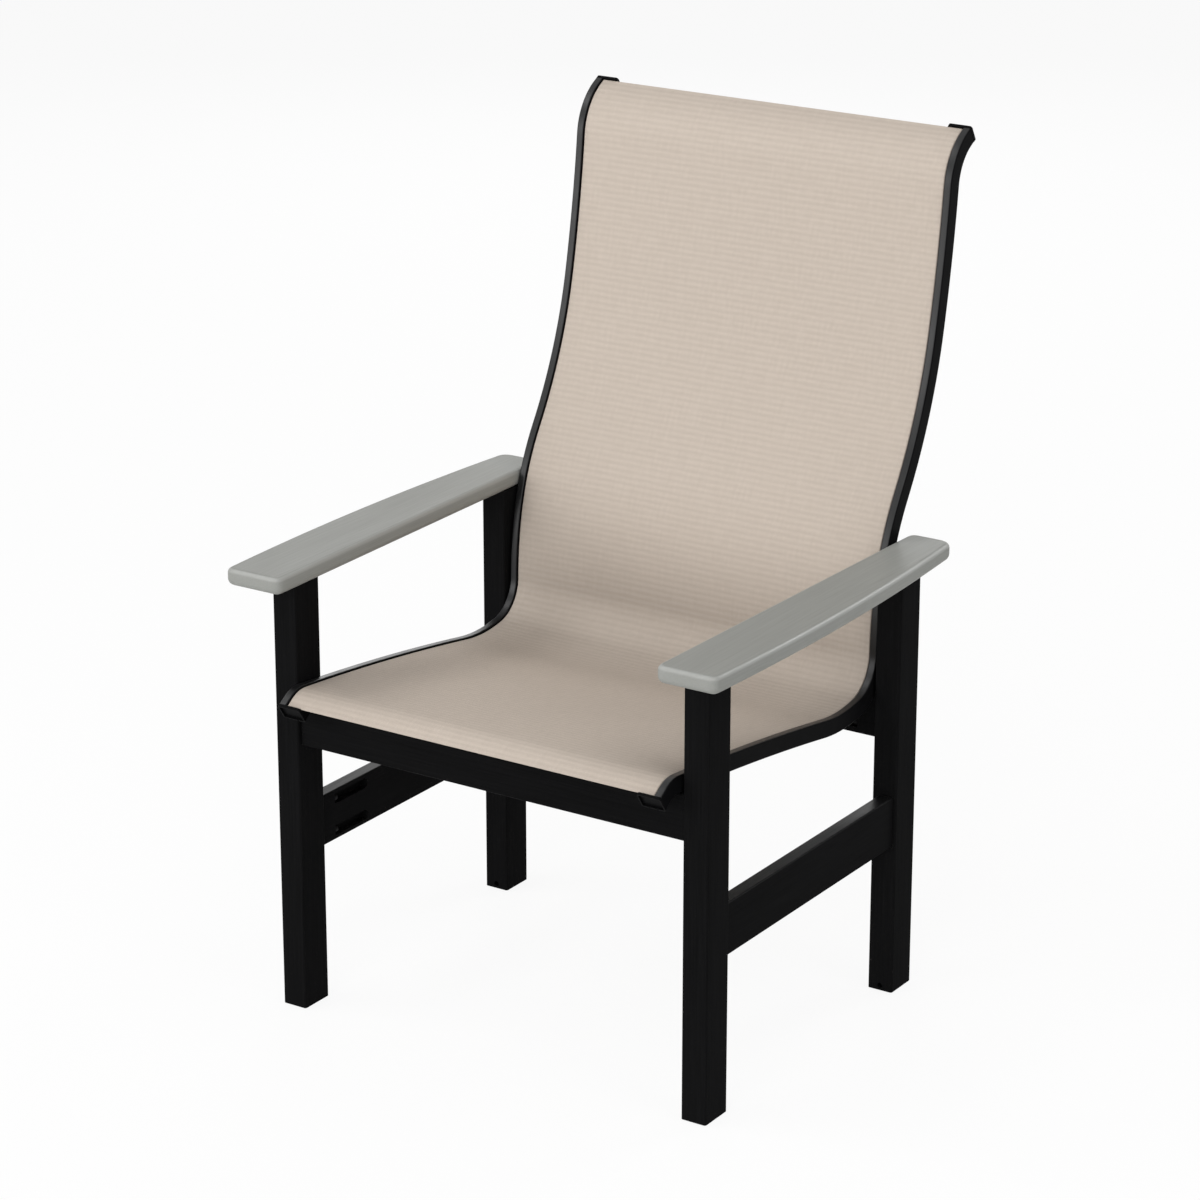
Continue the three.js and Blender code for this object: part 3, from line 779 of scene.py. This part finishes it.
def arc(middle: Pair, radius: float, start: float, end: float, count: int) -> list[Pair]:
    """List the points of an arc.

    Args:
        middle: Its centre.
        radius: Its radius.
        start: The angle that it starts at, in degrees.
        end: The angle that it ends at.
        count: How many parts it has.

    Returns:
        The points from start to end.
    """
    angles = [math.radians(start + (end - start) * i / count) for i in range(count + 1)]
    return [(middle[0] + radius * math.cos(a), middle[1] + radius * math.sin(a)) for a in angles]


def circle(middle: Pair, radius: float, count: int) -> list[Pair]:
    """List the points of a circle, each once."""
    return arc(middle, radius, 0, 360 - 360 / count, count - 1)


@dataclass
class RailSizes:
    """The section that rails, cloth and splines share: places across, and depths below the cloth's face."""

    clearance: float = 3.5 * MM
    width: float = 34 * MM
    depth: float = 22 * MM
    corner: float = 3 * MM
    wall: float = 2.3 * MM
    lip_width: float = 11 * MM
    lip_rise: float = 2 * MM
    lip_round: float = 2.2 * MM
    channel_radius: float = 4 * MM
    channel_depth: float = 8.2 * MM
    cloth: float = 1.4 * MM
    hem: float = 1.2 * MM
    gap: float = 0.3 * MM

    def __post_init__(self) -> None:
        """Work out the places that follow from the legs and the sizes."""
        self.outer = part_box("leg_front_left")[0].x - self.clearance
        self.inner = self.outer - self.width
        self.edge = self.outer - self.lip_width
        self.channel = self.edge - self.gap - self.cloth / 2
        self.mouth = self.cloth / 2 + self.gap
        self.top = self.cloth + self.gap
        self.shelf = self.channel_depth + self.channel_radius + self.wall


@dataclass
class Sweep:
    """A drawn section that is bent along the side line as the real extrusion is.

    Its stations are at most a step, and a turn in degrees, apart. A turn under straight counts as none.
    """

    line: SideLine
    step: float = 13 * MM
    turn: float = 3.0
    straight: float = 0.001
    same_plane: float = 0.02 * MM
    section_reach: float = 40 * MM

    def make(self, name: str, loops: list[list[Pair]], trim: float = 0.0) -> Piece:
        """Bend closed loops along the line and close both ends.

        Args:
            name: The piece's name.
            loops: Closed outlines as places across and depths.
            trim: How much shorter the piece is at both ends.

        Returns:
            The piece.
        """
        rings = self.line.rings(self.step, self.turn, trim)
        piece = draw_loops(name, [[rings[0].at(*spot) for spot in loop] for loop in loops])
        for low, high in zip(rings, rings[1:]):
            self.advance(low, high)
        for ring in (rings[0], rings[-1]):
            select_points(piece, lambda place, ring=ring: self.lies_on(place, ring))
            bpy.ops.mesh.fill(use_beauty=True)
        clean_mesh(piece)
        smooth(piece)
        return piece

    def advance(self, low: Ring, high: Ring) -> None:
        """Extrude the selected loops to the next station, turned about the bend's centre.

        Args:
            low: The station that they are at.
            high: The next one.
        """
        turn = high.heading - low.heading
        gone = Vector((0, high.y - low.y, high.z - low.z))
        if abs(turn) < math.radians(self.straight):
            extrude(*gone)
            return
        centre = low.at(0, -gone.length / (2 * math.sin(turn / 2)))
        bpy.ops.mesh.spin(steps=1, angle=-turn, center=centre, axis=(1, 0, 0))

    def lies_on(self, place: Vector, ring: Ring) -> bool:
        """Tell whether a point lies in a station's plane and near it."""
        offset = place - ring.at(place.x, 0)
        return abs(offset.dot(ring.along())) < self.same_plane and offset.length < self.section_reach


@dataclass
class SlingRails:
    """The two bent rails, with their lips, channels and hollows, and the splines in the channels."""

    line: SideLine
    sizes: RailSizes
    facets: int = 4
    channel_facets: int = 12
    spline_facets: int = 12
    spline_trim: float = 0.5 * MM

    def outline(self) -> list[Pair]:
        """Draw the left rail's section, with its depth counted downwards.

        Returns:
            The section's points.
        """
        s = self.sizes
        gape = math.degrees(math.asin(s.mouth / s.channel_radius))
        corner, lip = s.corner, s.lip_round
        return [
            *arc((s.inner + corner, s.depth - corner), corner, 90, 180, self.facets),
            (s.inner, s.top),
            (s.channel - s.mouth, s.top),
            *arc((s.channel, s.channel_depth), s.channel_radius, 270 - gape, -90 + gape, self.channel_facets),
            *arc((s.edge + lip, lip - s.lip_rise), lip, 180, 270, self.facets),
            *arc((s.outer - lip, lip - s.lip_rise), lip, 270, 360, self.facets),
            *arc((s.outer - corner, s.depth - corner), corner, 0, 90, self.facets),
        ]

    def hollow(self) -> list[Pair]:
        """Draw the hollow beside and behind the channel.

        Returns:
            The hollow's points.
        """
        s = self.sizes
        near, far = s.inner + s.wall, s.outer - s.wall
        roof, floor = s.top + s.wall, s.depth - s.wall
        side = s.channel - s.channel_radius - s.wall
        return [(near, roof), (side, roof), (side, s.shelf), (far, s.shelf), (far, floor), (near, floor)]

    def build(self, coat: Material, plastic: Material) -> None:
        """Make both rails and both splines.

        Args:
            coat: The rails' powder coat.
            plastic: The splines' plastic.
        """
        s = self.sizes
        sweep = Sweep(self.line)
        spline_radius = s.channel_radius - s.gap - s.hem - s.gap
        for name, side in SIDES.items():
            left_loops = self.outline(), self.hollow()
            loops = [[(side * across, depth) for across, depth in loop] for loop in left_loops]
            rail = sweep.make(f"bent_rail_{name}", loops)
            finish_piece(rail, coat, "rail_coat", f"sling_rail_{name}")
            round_loop = circle((side * s.channel, s.channel_depth), spline_radius, self.spline_facets)
            spline = sweep.make(f"round_spline_{name}", [round_loop], self.spline_trim)
            finish_piece(spline, plastic, "black_plastic", f"sling_spline_{name}")


@dataclass
class Sling:
    """The cloth: taut between the rails, turned down into their channels and hemmed round the splines."""

    line: SideLine
    sizes: RailSizes
    inset: float = 0.5 * MM
    fold: float = 1.6 * MM
    sag: float = 2 * MM
    step: float = 6 * MM
    turn: float = 3.0
    columns: int = 24
    fold_facets: int = 4
    hem_facets: int = 14
    hem_turn: float = 330.0
    crease: float = 50.0

    def section(self) -> list[Pair]:
        """Draw the cloth's middle surface from the end of one hem to the end of the other.

        Returns:
            Its points as places across and depths.
        """
        s = self.sizes
        face = s.cloth / 2
        flat = s.channel - self.fold
        radius = s.channel_radius - s.gap - s.hem / 2
        half = [(flat * i / (self.columns / 2), face) for i in range(self.columns // 2)]
        half += arc((flat, face + self.fold), self.fold, 270, 360, self.fold_facets)
        half += arc((s.channel, s.channel_depth), radius, 270, 270 + self.hem_turn, self.hem_facets)
        return [(-across, depth) for across, depth in reversed(half[1:])] + half

    def surface(self, section: list[Pair], rings: list[Ring]) -> list[Vector]:
        """Carry the section along the side line, with its sag.

        Args:
            section: The cloth's section.
            rings: The stations that it passes.

        Returns:
            A row of points for each station.
        """
        total = rings[-1].distance + self.inset
        taut = self.sizes.channel
        points = []
        for ring in rings:
            belly = self.sag * math.sin(math.pi * ring.distance / total)
            for across, depth in section:
                dip = belly * max(0.0, 1 - (across / taut) ** 2)
                points.append(ring.at(across, depth + dip))
        return points

    def build(self, finish: Material, rails: list[str]) -> None:
        """Make the cloth with its map and its thickness.

        Args:
            finish: The cloth's material.
            rails: The names of the pieces that hold it; not used.
        """
        section = self.section()
        rings = self.line.rings(self.step, self.turn, self.inset)
        row = len(section)
        faces = [
            (i * row + j, i * row + j + 1, (i + 1) * row + j + 1, (i + 1) * row + j)
            for i in range(len(rings) - 1) for j in range(row - 1)
        ]
        piece = add_mesh("stretched_sling", self.surface(section, rings), [], faces)
        parts = [math.dist(a, b) for a, b in zip(section, section[1:])]
        places = [sum(parts[:i]) for i in range(row)]
        cloth_map = piece.data.uv_layers.new(name="cloth")
        for loop in piece.data.loops:
            i, j = divmod(loop.vertex_index, row)
            cloth_map.data[loop.index].uv = (places[j], rings[i].distance)
        bpy.ops.object.shade_smooth()
        work(piece, "SOLIDIFY", thickness=self.sizes.cloth, offset=0)
        bpy.ops.object.shade_smooth_by_angle(angle=math.radians(self.crease))
        finish_piece(piece, finish, "sling_cloth", "sling")


@dataclass
class SpreaderBars:
    """The two bowed tubes that keep the rails apart under the cloth, each with a flange at both ends."""

    line: SideLine
    sizes: RailSizes
    radius: float = 7.5 * MM
    wall: float = 1.6 * MM
    clearance: float = 1.1 * MM
    bow: float = 30 * MM
    flange: float = 3 * MM
    flange_ease: float = 0.4 * MM
    rim: float = 1 * MM
    pitch: float = 17 * MM
    screw_bore: float = 2.3 * MM
    spans: int = 8
    span_parts: int = 5
    tube_parts: int = 8
    facets: int = 48
    places: dict[str, tuple[str, float]] = field(default_factory=lambda: {
        "seat": ("curl", 238 * MM),
        "back": ("rise", 142 * MM),
    })

    def tube(self, name: str, ring: Ring, half: float, depth: float) -> Piece:
        """Bend one tube.

        Args:
            name: The piece's name.
            ring: The station of the side line that the bar crosses.
            half: Half of the bar's length.
            depth: The depth of its ends below the cloth's face.

        Returns:
            The hollow tube.
        """
        spots = []
        step = 2 * half / (3 * self.spans)
        for i in range(self.spans + 1):
            angle = 2 * math.pi * i / self.spans
            across = half * (2 * i / self.spans - 1)
            sunk = depth + self.bow * (1 - math.cos(angle)) / 2
            lean = self.bow * math.pi * math.sin(angle) / (3 * self.spans)
            spots.append([ring.at(across + way * step, sunk + way * lean) for way in (0, -1, 1)])
        tube = draw_curve(
            name, spots, False, 0.0, dimensions="3D", resolution_u=self.span_parts,
            bevel_depth=self.radius, bevel_resolution=self.tube_parts,
        )
        work(tube, "SOLIDIFY", thickness=self.wall, offset=-1)
        return tube

    def plate(self, name: str, ring: Ring, inner: float, depth: float) -> Piece:
        """Cut one flange: a plate with round ends, a bore for the tube and a hole for the screw.

        Args:
            name: The piece's name.
            ring: The station of the side line that the bar crosses.
            inner: Where the plate's inner face stands, as a place across.
            depth: The depth of the bore below the cloth's face.

        Returns:
            The plate.
        """
        radius = self.radius + self.rim
        ends = self.facets // 2
        loops = [
            arc((0, 0), radius, 90, 270, ends) + arc((self.pitch, 0), radius, -90, 90, ends),
            circle((0, 0), self.radius - self.wall / 2, self.facets),
            circle((self.pitch, 0), self.screw_bore, self.facets),
        ]
        plate = draw_loops(name, [
            [ring.at(inner, depth + down) + ring.along() * slide for slide, down in loop] for loop in loops
        ])
        bpy.ops.mesh.fill(use_beauty=True)
        bpy.ops.mesh.select_all(action="SELECT")
        extrude(math.copysign(self.flange, inner), 0, 0)
        clean_mesh(plate)
        ease_edges(plate, self.flange_ease)
        return plate

    def build(self, coat: Material) -> None:
        """Make both bars.

        Args:
            coat: Their powder coat.
        """
        depth = self.sizes.cloth + self.clearance + self.radius + self.rim
        half = self.sizes.inner - self.sizes.gap
        for name, (stretch, distance) in self.places.items():
            ring = self.line.past(stretch, distance)
            bar = self.tube(f"bowed_bar_{name}", ring, half, depth)
            plates = [
                self.plate(f"flange_{name}_{side}", ring, side * (half - self.flange), depth)
                for side in SIDES.values()
            ]
            take_up(bar)
            for plate in plates:
                plate.select_set(True)
            bpy.ops.object.join()
            smooth(bar)
            finish_piece(bar, coat, "rail_coat", f"{name}_spreader_bar")


@dataclass(frozen=True)
class SocketFastener:
    """A bolt or screw with a round head and a hexagon socket, made for the node that it replaces."""

    head_height: float
    shank_radius: float
    socket: float
    socket_depth: float
    socket_sides: int = 6
    facets: int = 36
    ease: float = 0.35 * MM

    def build(self, node: str, axis: Axis, sense: int, steel: Material) -> None:
        """Make one fastener in its node's place.

        Args:
            node: The node that it replaces.
            axis: The axis that it lies along.
            sense: 1 where the shank runs up the axis from its head, or -1.
            steel: Its steel.
        """
        low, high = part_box(node)
        length = (high - low)[axis]
        wide = (high - low)[(axis + 1) % 3] / 2
        top = -length / 2
        circles = circle((0, 0), wide, self.facets), circle((0, 0), self.socket, self.socket_sides)
        piece = draw_loops(f"socket_{node}", [[Vector((*spot, top)) for spot in loop] for loop in circles])
        bpy.ops.mesh.bridge_edge_loops()
        select_points(piece, lambda place: math.hypot(place.x, place.y) > wide - HAIR)
        extrude(0, 0, self.head_height)
        extrude(0, 0, 0)
        share = self.shank_radius / wide
        bpy.ops.transform.resize(value=(share, share, 1), center_override=(0, 0, 0))
        extrude(0, 0, length - self.head_height)
        bpy.ops.mesh.edge_face_add()
        reach = self.socket + HAIR
        select_points(piece, lambda place: place.z < top + HAIR and math.hypot(place.x, place.y) < reach)
        extrude(0, 0, self.socket_depth)
        bpy.ops.mesh.edge_face_add()
        clean_mesh(piece)
        ease_edges(piece, self.ease)
        set_in_place(piece, axis, sense, (low + high) / 2)
        finish_piece(piece, steel, "fastener_steel", node)


@dataclass(frozen=True)
class TurnedPiece:
    """A round moulding that is turned about one axis, such as a foot's glide or a rail's spacer."""

    axis: Axis
    facets: int = 48
    ease: float = 0.4 * MM

    def build(self, node: str, profile: list[Pair], plastic: Material) -> None:
        """Turn one piece in its node's place.

        Args:
            node: The node that it replaces.
            profile: A closed profile of radii and places along the axis.
            plastic: Its plastic.
        """
        low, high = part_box(node)
        middle = (low + high) / 2
        middle[self.axis] = 0
        piece = draw_loops(f"round_{node}", [[Vector((radius, 0, along)) for radius, along in profile]])
        bpy.ops.mesh.spin(steps=self.facets, angle=2 * math.pi, center=(0, 0, 0), axis=(0, 0, 1))
        clean_mesh(piece)
        ease_edges(piece, self.ease)
        set_in_place(piece, self.axis, 1, middle)
        finish_piece(piece, plastic, "black_plastic", node)


@dataclass
class Fittings:
    """The bolts, screws, spacers and glides, each turned smooth in its node's place."""

    bolt: SocketFastener = SocketFastener(
        head_height=6 * MM, shank_radius=3 * MM, socket=2.6 * MM, socket_depth=3 * MM
    )
    rail_bolt: SocketFastener = SocketFastener(
        head_height=3 * MM, shank_radius=2 * MM, socket=1.5 * MM, socket_depth=1.5 * MM
    )
    screw: SocketFastener = SocketFastener(
        head_height=2.4 * MM, shank_radius=2 * MM, socket=1.2 * MM, socket_depth=1.2 * MM
    )
    spacer_bore: float = 2.3 * MM
    glide_rim: float = 3.5 * MM
    glide_stem: float = 3 * MM

    def build(self, steel: Material, plastic: Material) -> None:
        """Make all of them.

        Args:
            steel: The fasteners' steel.
            plastic: The glides' and spacers' plastic.
        """
        for name, side in SIDES.items():
            for board in ("front_apron", "rear_cross_board"):
                for level in LEVELS:
                    self.bolt.build(f"{board}_bolt_{name}_{level}", Axis.ACROSS, side, steel)
            for place, sense in PLACES.items():
                for level in LEVELS:
                    self.bolt.build(f"stretcher_bolt_{place}_{name}_{level}", Axis.BACK, sense, steel)
                self.rail_bolt.build(f"rail_bolt_{place}_{name}", Axis.ACROSS, side, steel)
                self.build_spacer(f"rail_spacer_{place}_{name}", plastic)
                self.build_glide(f"foot_glide_{place}_{name}", plastic)
            for bar in ("seat", "back"):
                self.screw.build(f"{bar}_spreader_bar_screw_{name}", Axis.ACROSS, side, steel)

    def build_spacer(self, node: str, plastic: Material) -> None:
        """Turn one spacer between a rail and its leg.

        Args:
            node: The node that it replaces.
            plastic: Its plastic.
        """
        low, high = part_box(node)
        radius = (high.z - low.z) / 2
        profile = [(self.spacer_bore, low.x), (radius, low.x), (radius, high.x), (self.spacer_bore, high.x)]
        TurnedPiece(Axis.ACROSS).build(node, profile, plastic)

    def build_glide(self, node: str, plastic: Material) -> None:
        """Turn one glide: a pad under the leg with a stem up into it.

        Args:
            node: The node that it replaces.
            plastic: Its plastic.
        """
        low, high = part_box(node)
        radius = (high.x - low.x) / 2
        rim = low.z + self.glide_rim
        pad = [(0, low.z), (radius, low.z), (radius, rim)]
        stem = [(self.glide_stem, rim), (self.glide_stem, high.z), (0, high.z)]
        TurnedPiece(Axis.UP).build(node, pad + stem, plastic)


@dataclass
class ArmBoards:
    """The two arm boards: flat on top, rounded all round and bowed along the outer edge."""

    top: float = 618 * MM
    thickness: float = 23.5 * MM
    top_round: float = 6.5 * MM
    bottom_round: float = 9 * MM
    front_reach: float = 48 * MM
    rear_reach: float = 38 * MM
    inner_reach: Pair = (11.5 * MM, 1.5 * MM)
    outer_reach: Pair = (39 * MM, 27.5 * MM)
    bow_reach: float = 54 * MM
    front_corner: float = 13 * MM
    inner_corner: float = 15 * MM
    outer_corner: float = 22 * MM
    curve_parts: int = 20
    round_parts: int = 5

    def outline(self) -> list[tuple[Vector, Vector | None]]:
        """Draw the left arm's edge.

        Returns:
            Each corner's point, and the pull of the curve to the next one or None for a straight.
        """
        leg_low, leg_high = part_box("leg_front_left")
        front = leg_low.y - self.front_reach
        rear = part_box("leg_back_left")[1].y + self.rear_reach
        inner = [leg_low.x - reach for reach in self.inner_reach]
        outer = [leg_high.x + reach for reach in self.outer_reach]
        bow = leg_high.x + self.bow_reach
        small, inside, outside = self.front_corner, self.inner_corner, self.outer_corner
        corners = [
            ((inner[0] + small, front), None),
            ((outer[0] - small, front), (outer[0], front)),
            ((outer[0], front + small), (bow, (front + rear) / 2)),
            ((outer[1], rear - outside), (outer[1], rear)),
            ((outer[1] - outside, rear), None),
            ((inner[1] + inside, rear), (inner[1], rear)),
            ((inner[1], rear - inside), None),
            ((inner[0], front + small), (inner[0], front)),
        ]
        return [(Vector((*point, 0)), Vector((*pull, 0)) if pull else None) for point, pull in corners]

    def spots(self, side: int) -> list[list[Vector]]:
        """Work out the curve's points and handles for one arm.

        A curve's handles go two thirds of the way to its pull. A straight's go a third of the way along.

        Args:
            side: 1 for the left arm and -1 for the right one.

        Returns:
            Each point with its handle before and its handle after.
        """
        flip = Matrix.Diagonal((side, 1, 1))
        outline = self.outline()
        spots = [[flip @ point, None, None] for point, _ in outline]
        for i, (point, pull) in enumerate(outline):
            following = (i + 1) % len(outline)
            end = outline[following][0]
            share = 2 / 3 if pull else 1 / 3
            spots[i][2] = flip @ point.lerp(pull or end, share)
            spots[following][1] = flip @ end.lerp(pull or point, share)
        return spots

    def build(self, finish: Material) -> None:
        """Make both arms.

        Args:
            finish: The arms' material.
        """
        bottom = self.top - self.thickness
        for name, side in SIDES.items():
            piece = draw_curve(
                f"arm_board_{name}", self.spots(side), True, self.top,
                dimensions="2D", fill_mode="NONE", resolution_u=self.curve_parts,
            )
            bpy.ops.object.mode_set(mode="EDIT")
            bpy.ops.mesh.edge_face_add()
            extrude(0, 0, -self.thickness)
            for level, width in ((self.top, self.top_round), (bottom, self.bottom_round)):
                select_points(piece, lambda place, level=level: abs(place.z - level) < HAIR)
                bpy.ops.mesh.bevel(offset=width, segments=self.round_parts, affect="EDGES")
            clean_mesh(piece)
            smooth(piece)
            finish_piece(piece, finish, "arm_lumber", f"arm_{name}")


@dataclass
class KeptParts:
    """The parts that are shown as they are, with eased arrises and their finishes."""

    bevel: float = 1.2 * MM
    bevel_parts: int = 3
    crease: float = 50.0

    def welder(self) -> bpy.types.NodeTree:
        """Make the node group that joins a part's triangles and shades its rounds smooth.

        Returns:
            The node group.
        """
        tree = bpy.data.node_groups.new("joined_and_smooth", "GeometryNodeTree")
        for way in ("INPUT", "OUTPUT"):
            tree.interface.new_socket("Geometry", in_out=way, socket_type="NodeSocketGeometry")
        graph = Graph(tree)
        triangles = graph.add("NodeGroupInput").outputs[0]
        weld = {"Geometry": triangles, "Distance": HAIR}
        joined = graph.add("GeometryNodeMergeByDistance", weld).outputs[0]
        rounds = graph.add("GeometryNodeSetShadeSmooth", {"Geometry": joined}, domain="FACE").outputs[0]
        angle = graph.add("GeometryNodeInputMeshEdgeAngle").outputs["Unsigned Angle"]
        sharp = graph.add("FunctionNodeCompare", {0: angle, 1: math.radians(self.crease)}).outputs["Result"]
        inputs = {"Geometry": rounds, "Selection": sharp, "Shade Smooth": False}
        edges = graph.add("GeometryNodeSetShadeSmooth", inputs, domain="EDGE").outputs[0]
        graph.add("NodeGroupOutput", {0: edges})
        return tree

    @staticmethod
    def finishes(black: Lumber, plastic: Material, steel: Material) -> dict[str, Material]:
        """Match every kept part with its material.

        Args:
            black: The frame's lumber.
            plastic: The moulded pieces' plastic.
            steel: The fasteners' steel.

        Returns:
            A material for each part's name.
        """
        crossing, running, upright = [black.material(axis) for axis in Axis]
        finishes = {"front_apron": crossing, "rear_cross_board": crossing}
        for side in SIDES:
            finishes[f"side_stretcher_{side}"] = running
            for place in PLACES:
                finishes[f"leg_{place}_{side}"] = upright
                finishes[f"arm_stud_{place}_{side}"] = steel
            for end in ("front", "top"):
                finishes[f"rail_cap_{end}_{side}"] = plastic
        return finishes

    def dress(self, frame: dict, finishes: dict[str, Material]) -> None:
        """Give every shown part its finish and its eased arrises.

        Args:
            frame: The loaded frame.
            finishes: The material for each part's name.
        """
        tree = self.welder()
        angle = math.radians(self.crease)
        for name, material in finishes.items():
            part = frame["nodes"][name]
            part.data.materials.clear()
            part.data.materials.append(material)
            add_modifier(part, "NODES", node_group=tree)
            add_modifier(
                part, "BEVEL", width=self.bevel, segments=self.bevel_parts, limit_method="ANGLE",
                angle_limit=angle,
            )
            add_modifier(part, "WEIGHTED_NORMAL", keep_sharp=True)
            log.info("%s keeps its shape", name)


@dataclass(frozen=True)
class Lamp:
    """A soft square lamp, by its angles in degrees, the length of its side and its power in watts."""

    name: str
    azimuth: float
    elevation: float
    side: float
    power: float


@dataclass
class Studio:
    """The pale floor, the soft light and the camera at the photograph's viewing angle.

    Azimuths are counted from the chair's front towards its left side.
    """

    camera_place: Triple = (2.6993, -4.1645, 2.2729)
    azimuth: float = 33.38
    elevation: float = 19.3
    lens: float = 120.66
    sensor: float = 36.0
    camera_reach: float = 200.0
    floor_size: float = 60.0
    floor_white: float = 0.9
    floor_bounce: float = 0.9
    ambient: float = 0.37
    aim: Triple = (0.0, 0.0, 0.7)
    lamp_distance: float = 5.5
    lamps: tuple[Lamp, ...] = (
        Lamp("front", 12.0, 12.0, 2.6, 60.0),
        Lamp("glint", -32.0, 10.0, 2.6, 76.0),
        Lamp("key", 15.0, 52.0, 2.6, 58.0),
        Lamp("left", 80.0, 35.0, 2.6, 45.0),
        Lamp("right", -60.0, 50.0, 1.6, 48.0),
        Lamp("back", 158.0, 31.0, 1.6, 40.0),
        Lamp("rim", 213.0, 20.0, 2.6, 40.0),
    )

    def build(self) -> None:
        """Make the camera, the floor, the world and the lamps."""
        bpy.context.scene.view_settings.view_transform = "Standard"
        self.add_camera()
        self.add_floor()
        self.add_world()
        for lamp in self.lamps:
            self.hang(lamp)
        log.info("studio ready")

    @staticmethod
    def direction(azimuth: float, elevation: float) -> Vector:
        """Return the way from the chair to a place round it, from angles in degrees."""
        turn, rise = math.radians(azimuth), math.radians(elevation)
        return Vector((math.sin(turn) * math.cos(rise), -math.cos(turn) * math.cos(rise), math.sin(rise)))

    def add_camera(self) -> None:
        """Place the camera."""
        rest_selection()
        bpy.ops.object.camera_add(location=self.camera_place)
        camera = bpy.context.object
        camera.name = "camera"
        back = self.direction(self.azimuth, self.elevation)
        camera.rotation_euler = (-back).to_track_quat("-Z", "Y").to_euler()
        camera.data.lens = self.lens
        camera.data.sensor_width = self.sensor
        camera.data.clip_end = self.camera_reach
        bpy.context.scene.camera = camera

    @staticmethod
    def seen(graph: Graph) -> Socket:
        """Find the rays that come from the camera or off a shiny or clear surface.

        Args:
            graph: The graph that asks.

        Returns:
            1 for those rays and 0 for others.
        """
        path = graph.add("ShaderNodeLightPath").outputs
        shiny = graph.math("MAXIMUM", path["Is Camera Ray"], path["Is Glossy Ray"])
        return graph.math("MAXIMUM", shiny, path["Is Transmission Ray"])

    def add_floor(self) -> None:
        """Lay a wide matt floor that looks white and keeps the chair's shadow."""
        rest_selection()
        bpy.ops.mesh.primitive_plane_add(size=self.floor_size)
        floor = bpy.context.object
        floor.name = "studio_floor"
        material = bpy.data.materials.new("studio_white")
        material.use_nodes = True
        graph = Graph(material.node_tree)
        seen = self.seen(graph)
        tone = graph.spread(seen, (0.0, 1.0), self.floor_bounce, 1.0)
        matt = graph.add("ShaderNodeBsdfDiffuse", {"Color": tone}).outputs[0]
        glow = graph.add("ShaderNodeEmission", {"Color": WHITE}).outputs[0]
        share = graph.math("MULTIPLY", seen, self.floor_white)
        mix = graph.add("ShaderNodeMixShader", {0: share, 1: matt, 2: glow}).outputs[0]
        graph.add("ShaderNodeOutputMaterial", {"Surface": mix})
        floor.data.materials.append(material)

    def add_world(self) -> None:
        """Make a world that looks white and gives an even, weaker light."""
        world = bpy.data.worlds.new("studio_world")
        world.use_nodes = True
        graph = Graph(world.node_tree)
        level = graph.spread(self.seen(graph), (0.0, 1.0), self.ambient, 1.0)
        sky = graph.add("ShaderNodeBackground", {"Color": WHITE, "Strength": level}).outputs[0]
        graph.add("ShaderNodeOutputWorld", {"Surface": sky})
        bpy.context.scene.world = world

    def hang(self, lamp: Lamp) -> None:
        """Hang a lamp that looks at the chair's middle.

        Args:
            lamp: The lamp's place, size and power.
        """
        back = self.direction(lamp.azimuth, lamp.elevation)
        rest_selection()
        bpy.ops.object.light_add(type="AREA", location=Vector(self.aim) + back * self.lamp_distance)
        light = bpy.context.object
        light.name = lamp.name
        light.data.size = lamp.side
        light.data.energy = lamp.power
        light.rotation_euler = (-back).to_track_quat("-Z", "Y").to_euler()


def main() -> None:
    """Build the chair's looks in order."""
    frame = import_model()
    rest_selection()
    Studio().build()
    line = SideLine()
    sizes = RailSizes()
    coat = PowderCoat().material()
    bar_coat = PowderCoat("bar_coat", gloss=0.06).material()
    plastic = MouldedPlastic().material()
    steel = DarkSteel().material()
    # The frame's and arms' gloss by face direction is a painted sheen: painted reflections on the tops,
    # painted highlights on the arms' roundings.
    black = Lumber(
        "frame_lumber", dark=(0.0058, 0.0058, 0.006), light=(0.009, 0.009, 0.0094), roughness=(0.42, 0.3),
        gloss=0.003, painted_edge_sheen=0.03, painted_top_sheen=0.07,
    )
    grey = Lumber(
        "arm_lumber", dark=(0.288, 0.292, 0.274), light=(0.32, 0.325, 0.307), roughness=(0.44, 0.32),
        gloss=0.03, painted_edge_sheen=0.8, painted_top_sheen=0.03,
    )
    SlingRails(line, sizes).build(coat, plastic)
    Sling(line, sizes).build(WovenMesh().material(), ["bent_rail_left", "bent_rail_right"])
    ArmBoards().build(grey.material(Axis.BACK))
    SpreaderBars(line, sizes).build(bar_coat)
    Fittings().build(steel, plastic)
    kept = KeptParts()
    kept.dress(frame, kept.finishes(black, plastic, steel))


if __name__ == "__main__":
    logging.basicConfig(level=logging.INFO, format="%(name)s %(message)s")
    main()
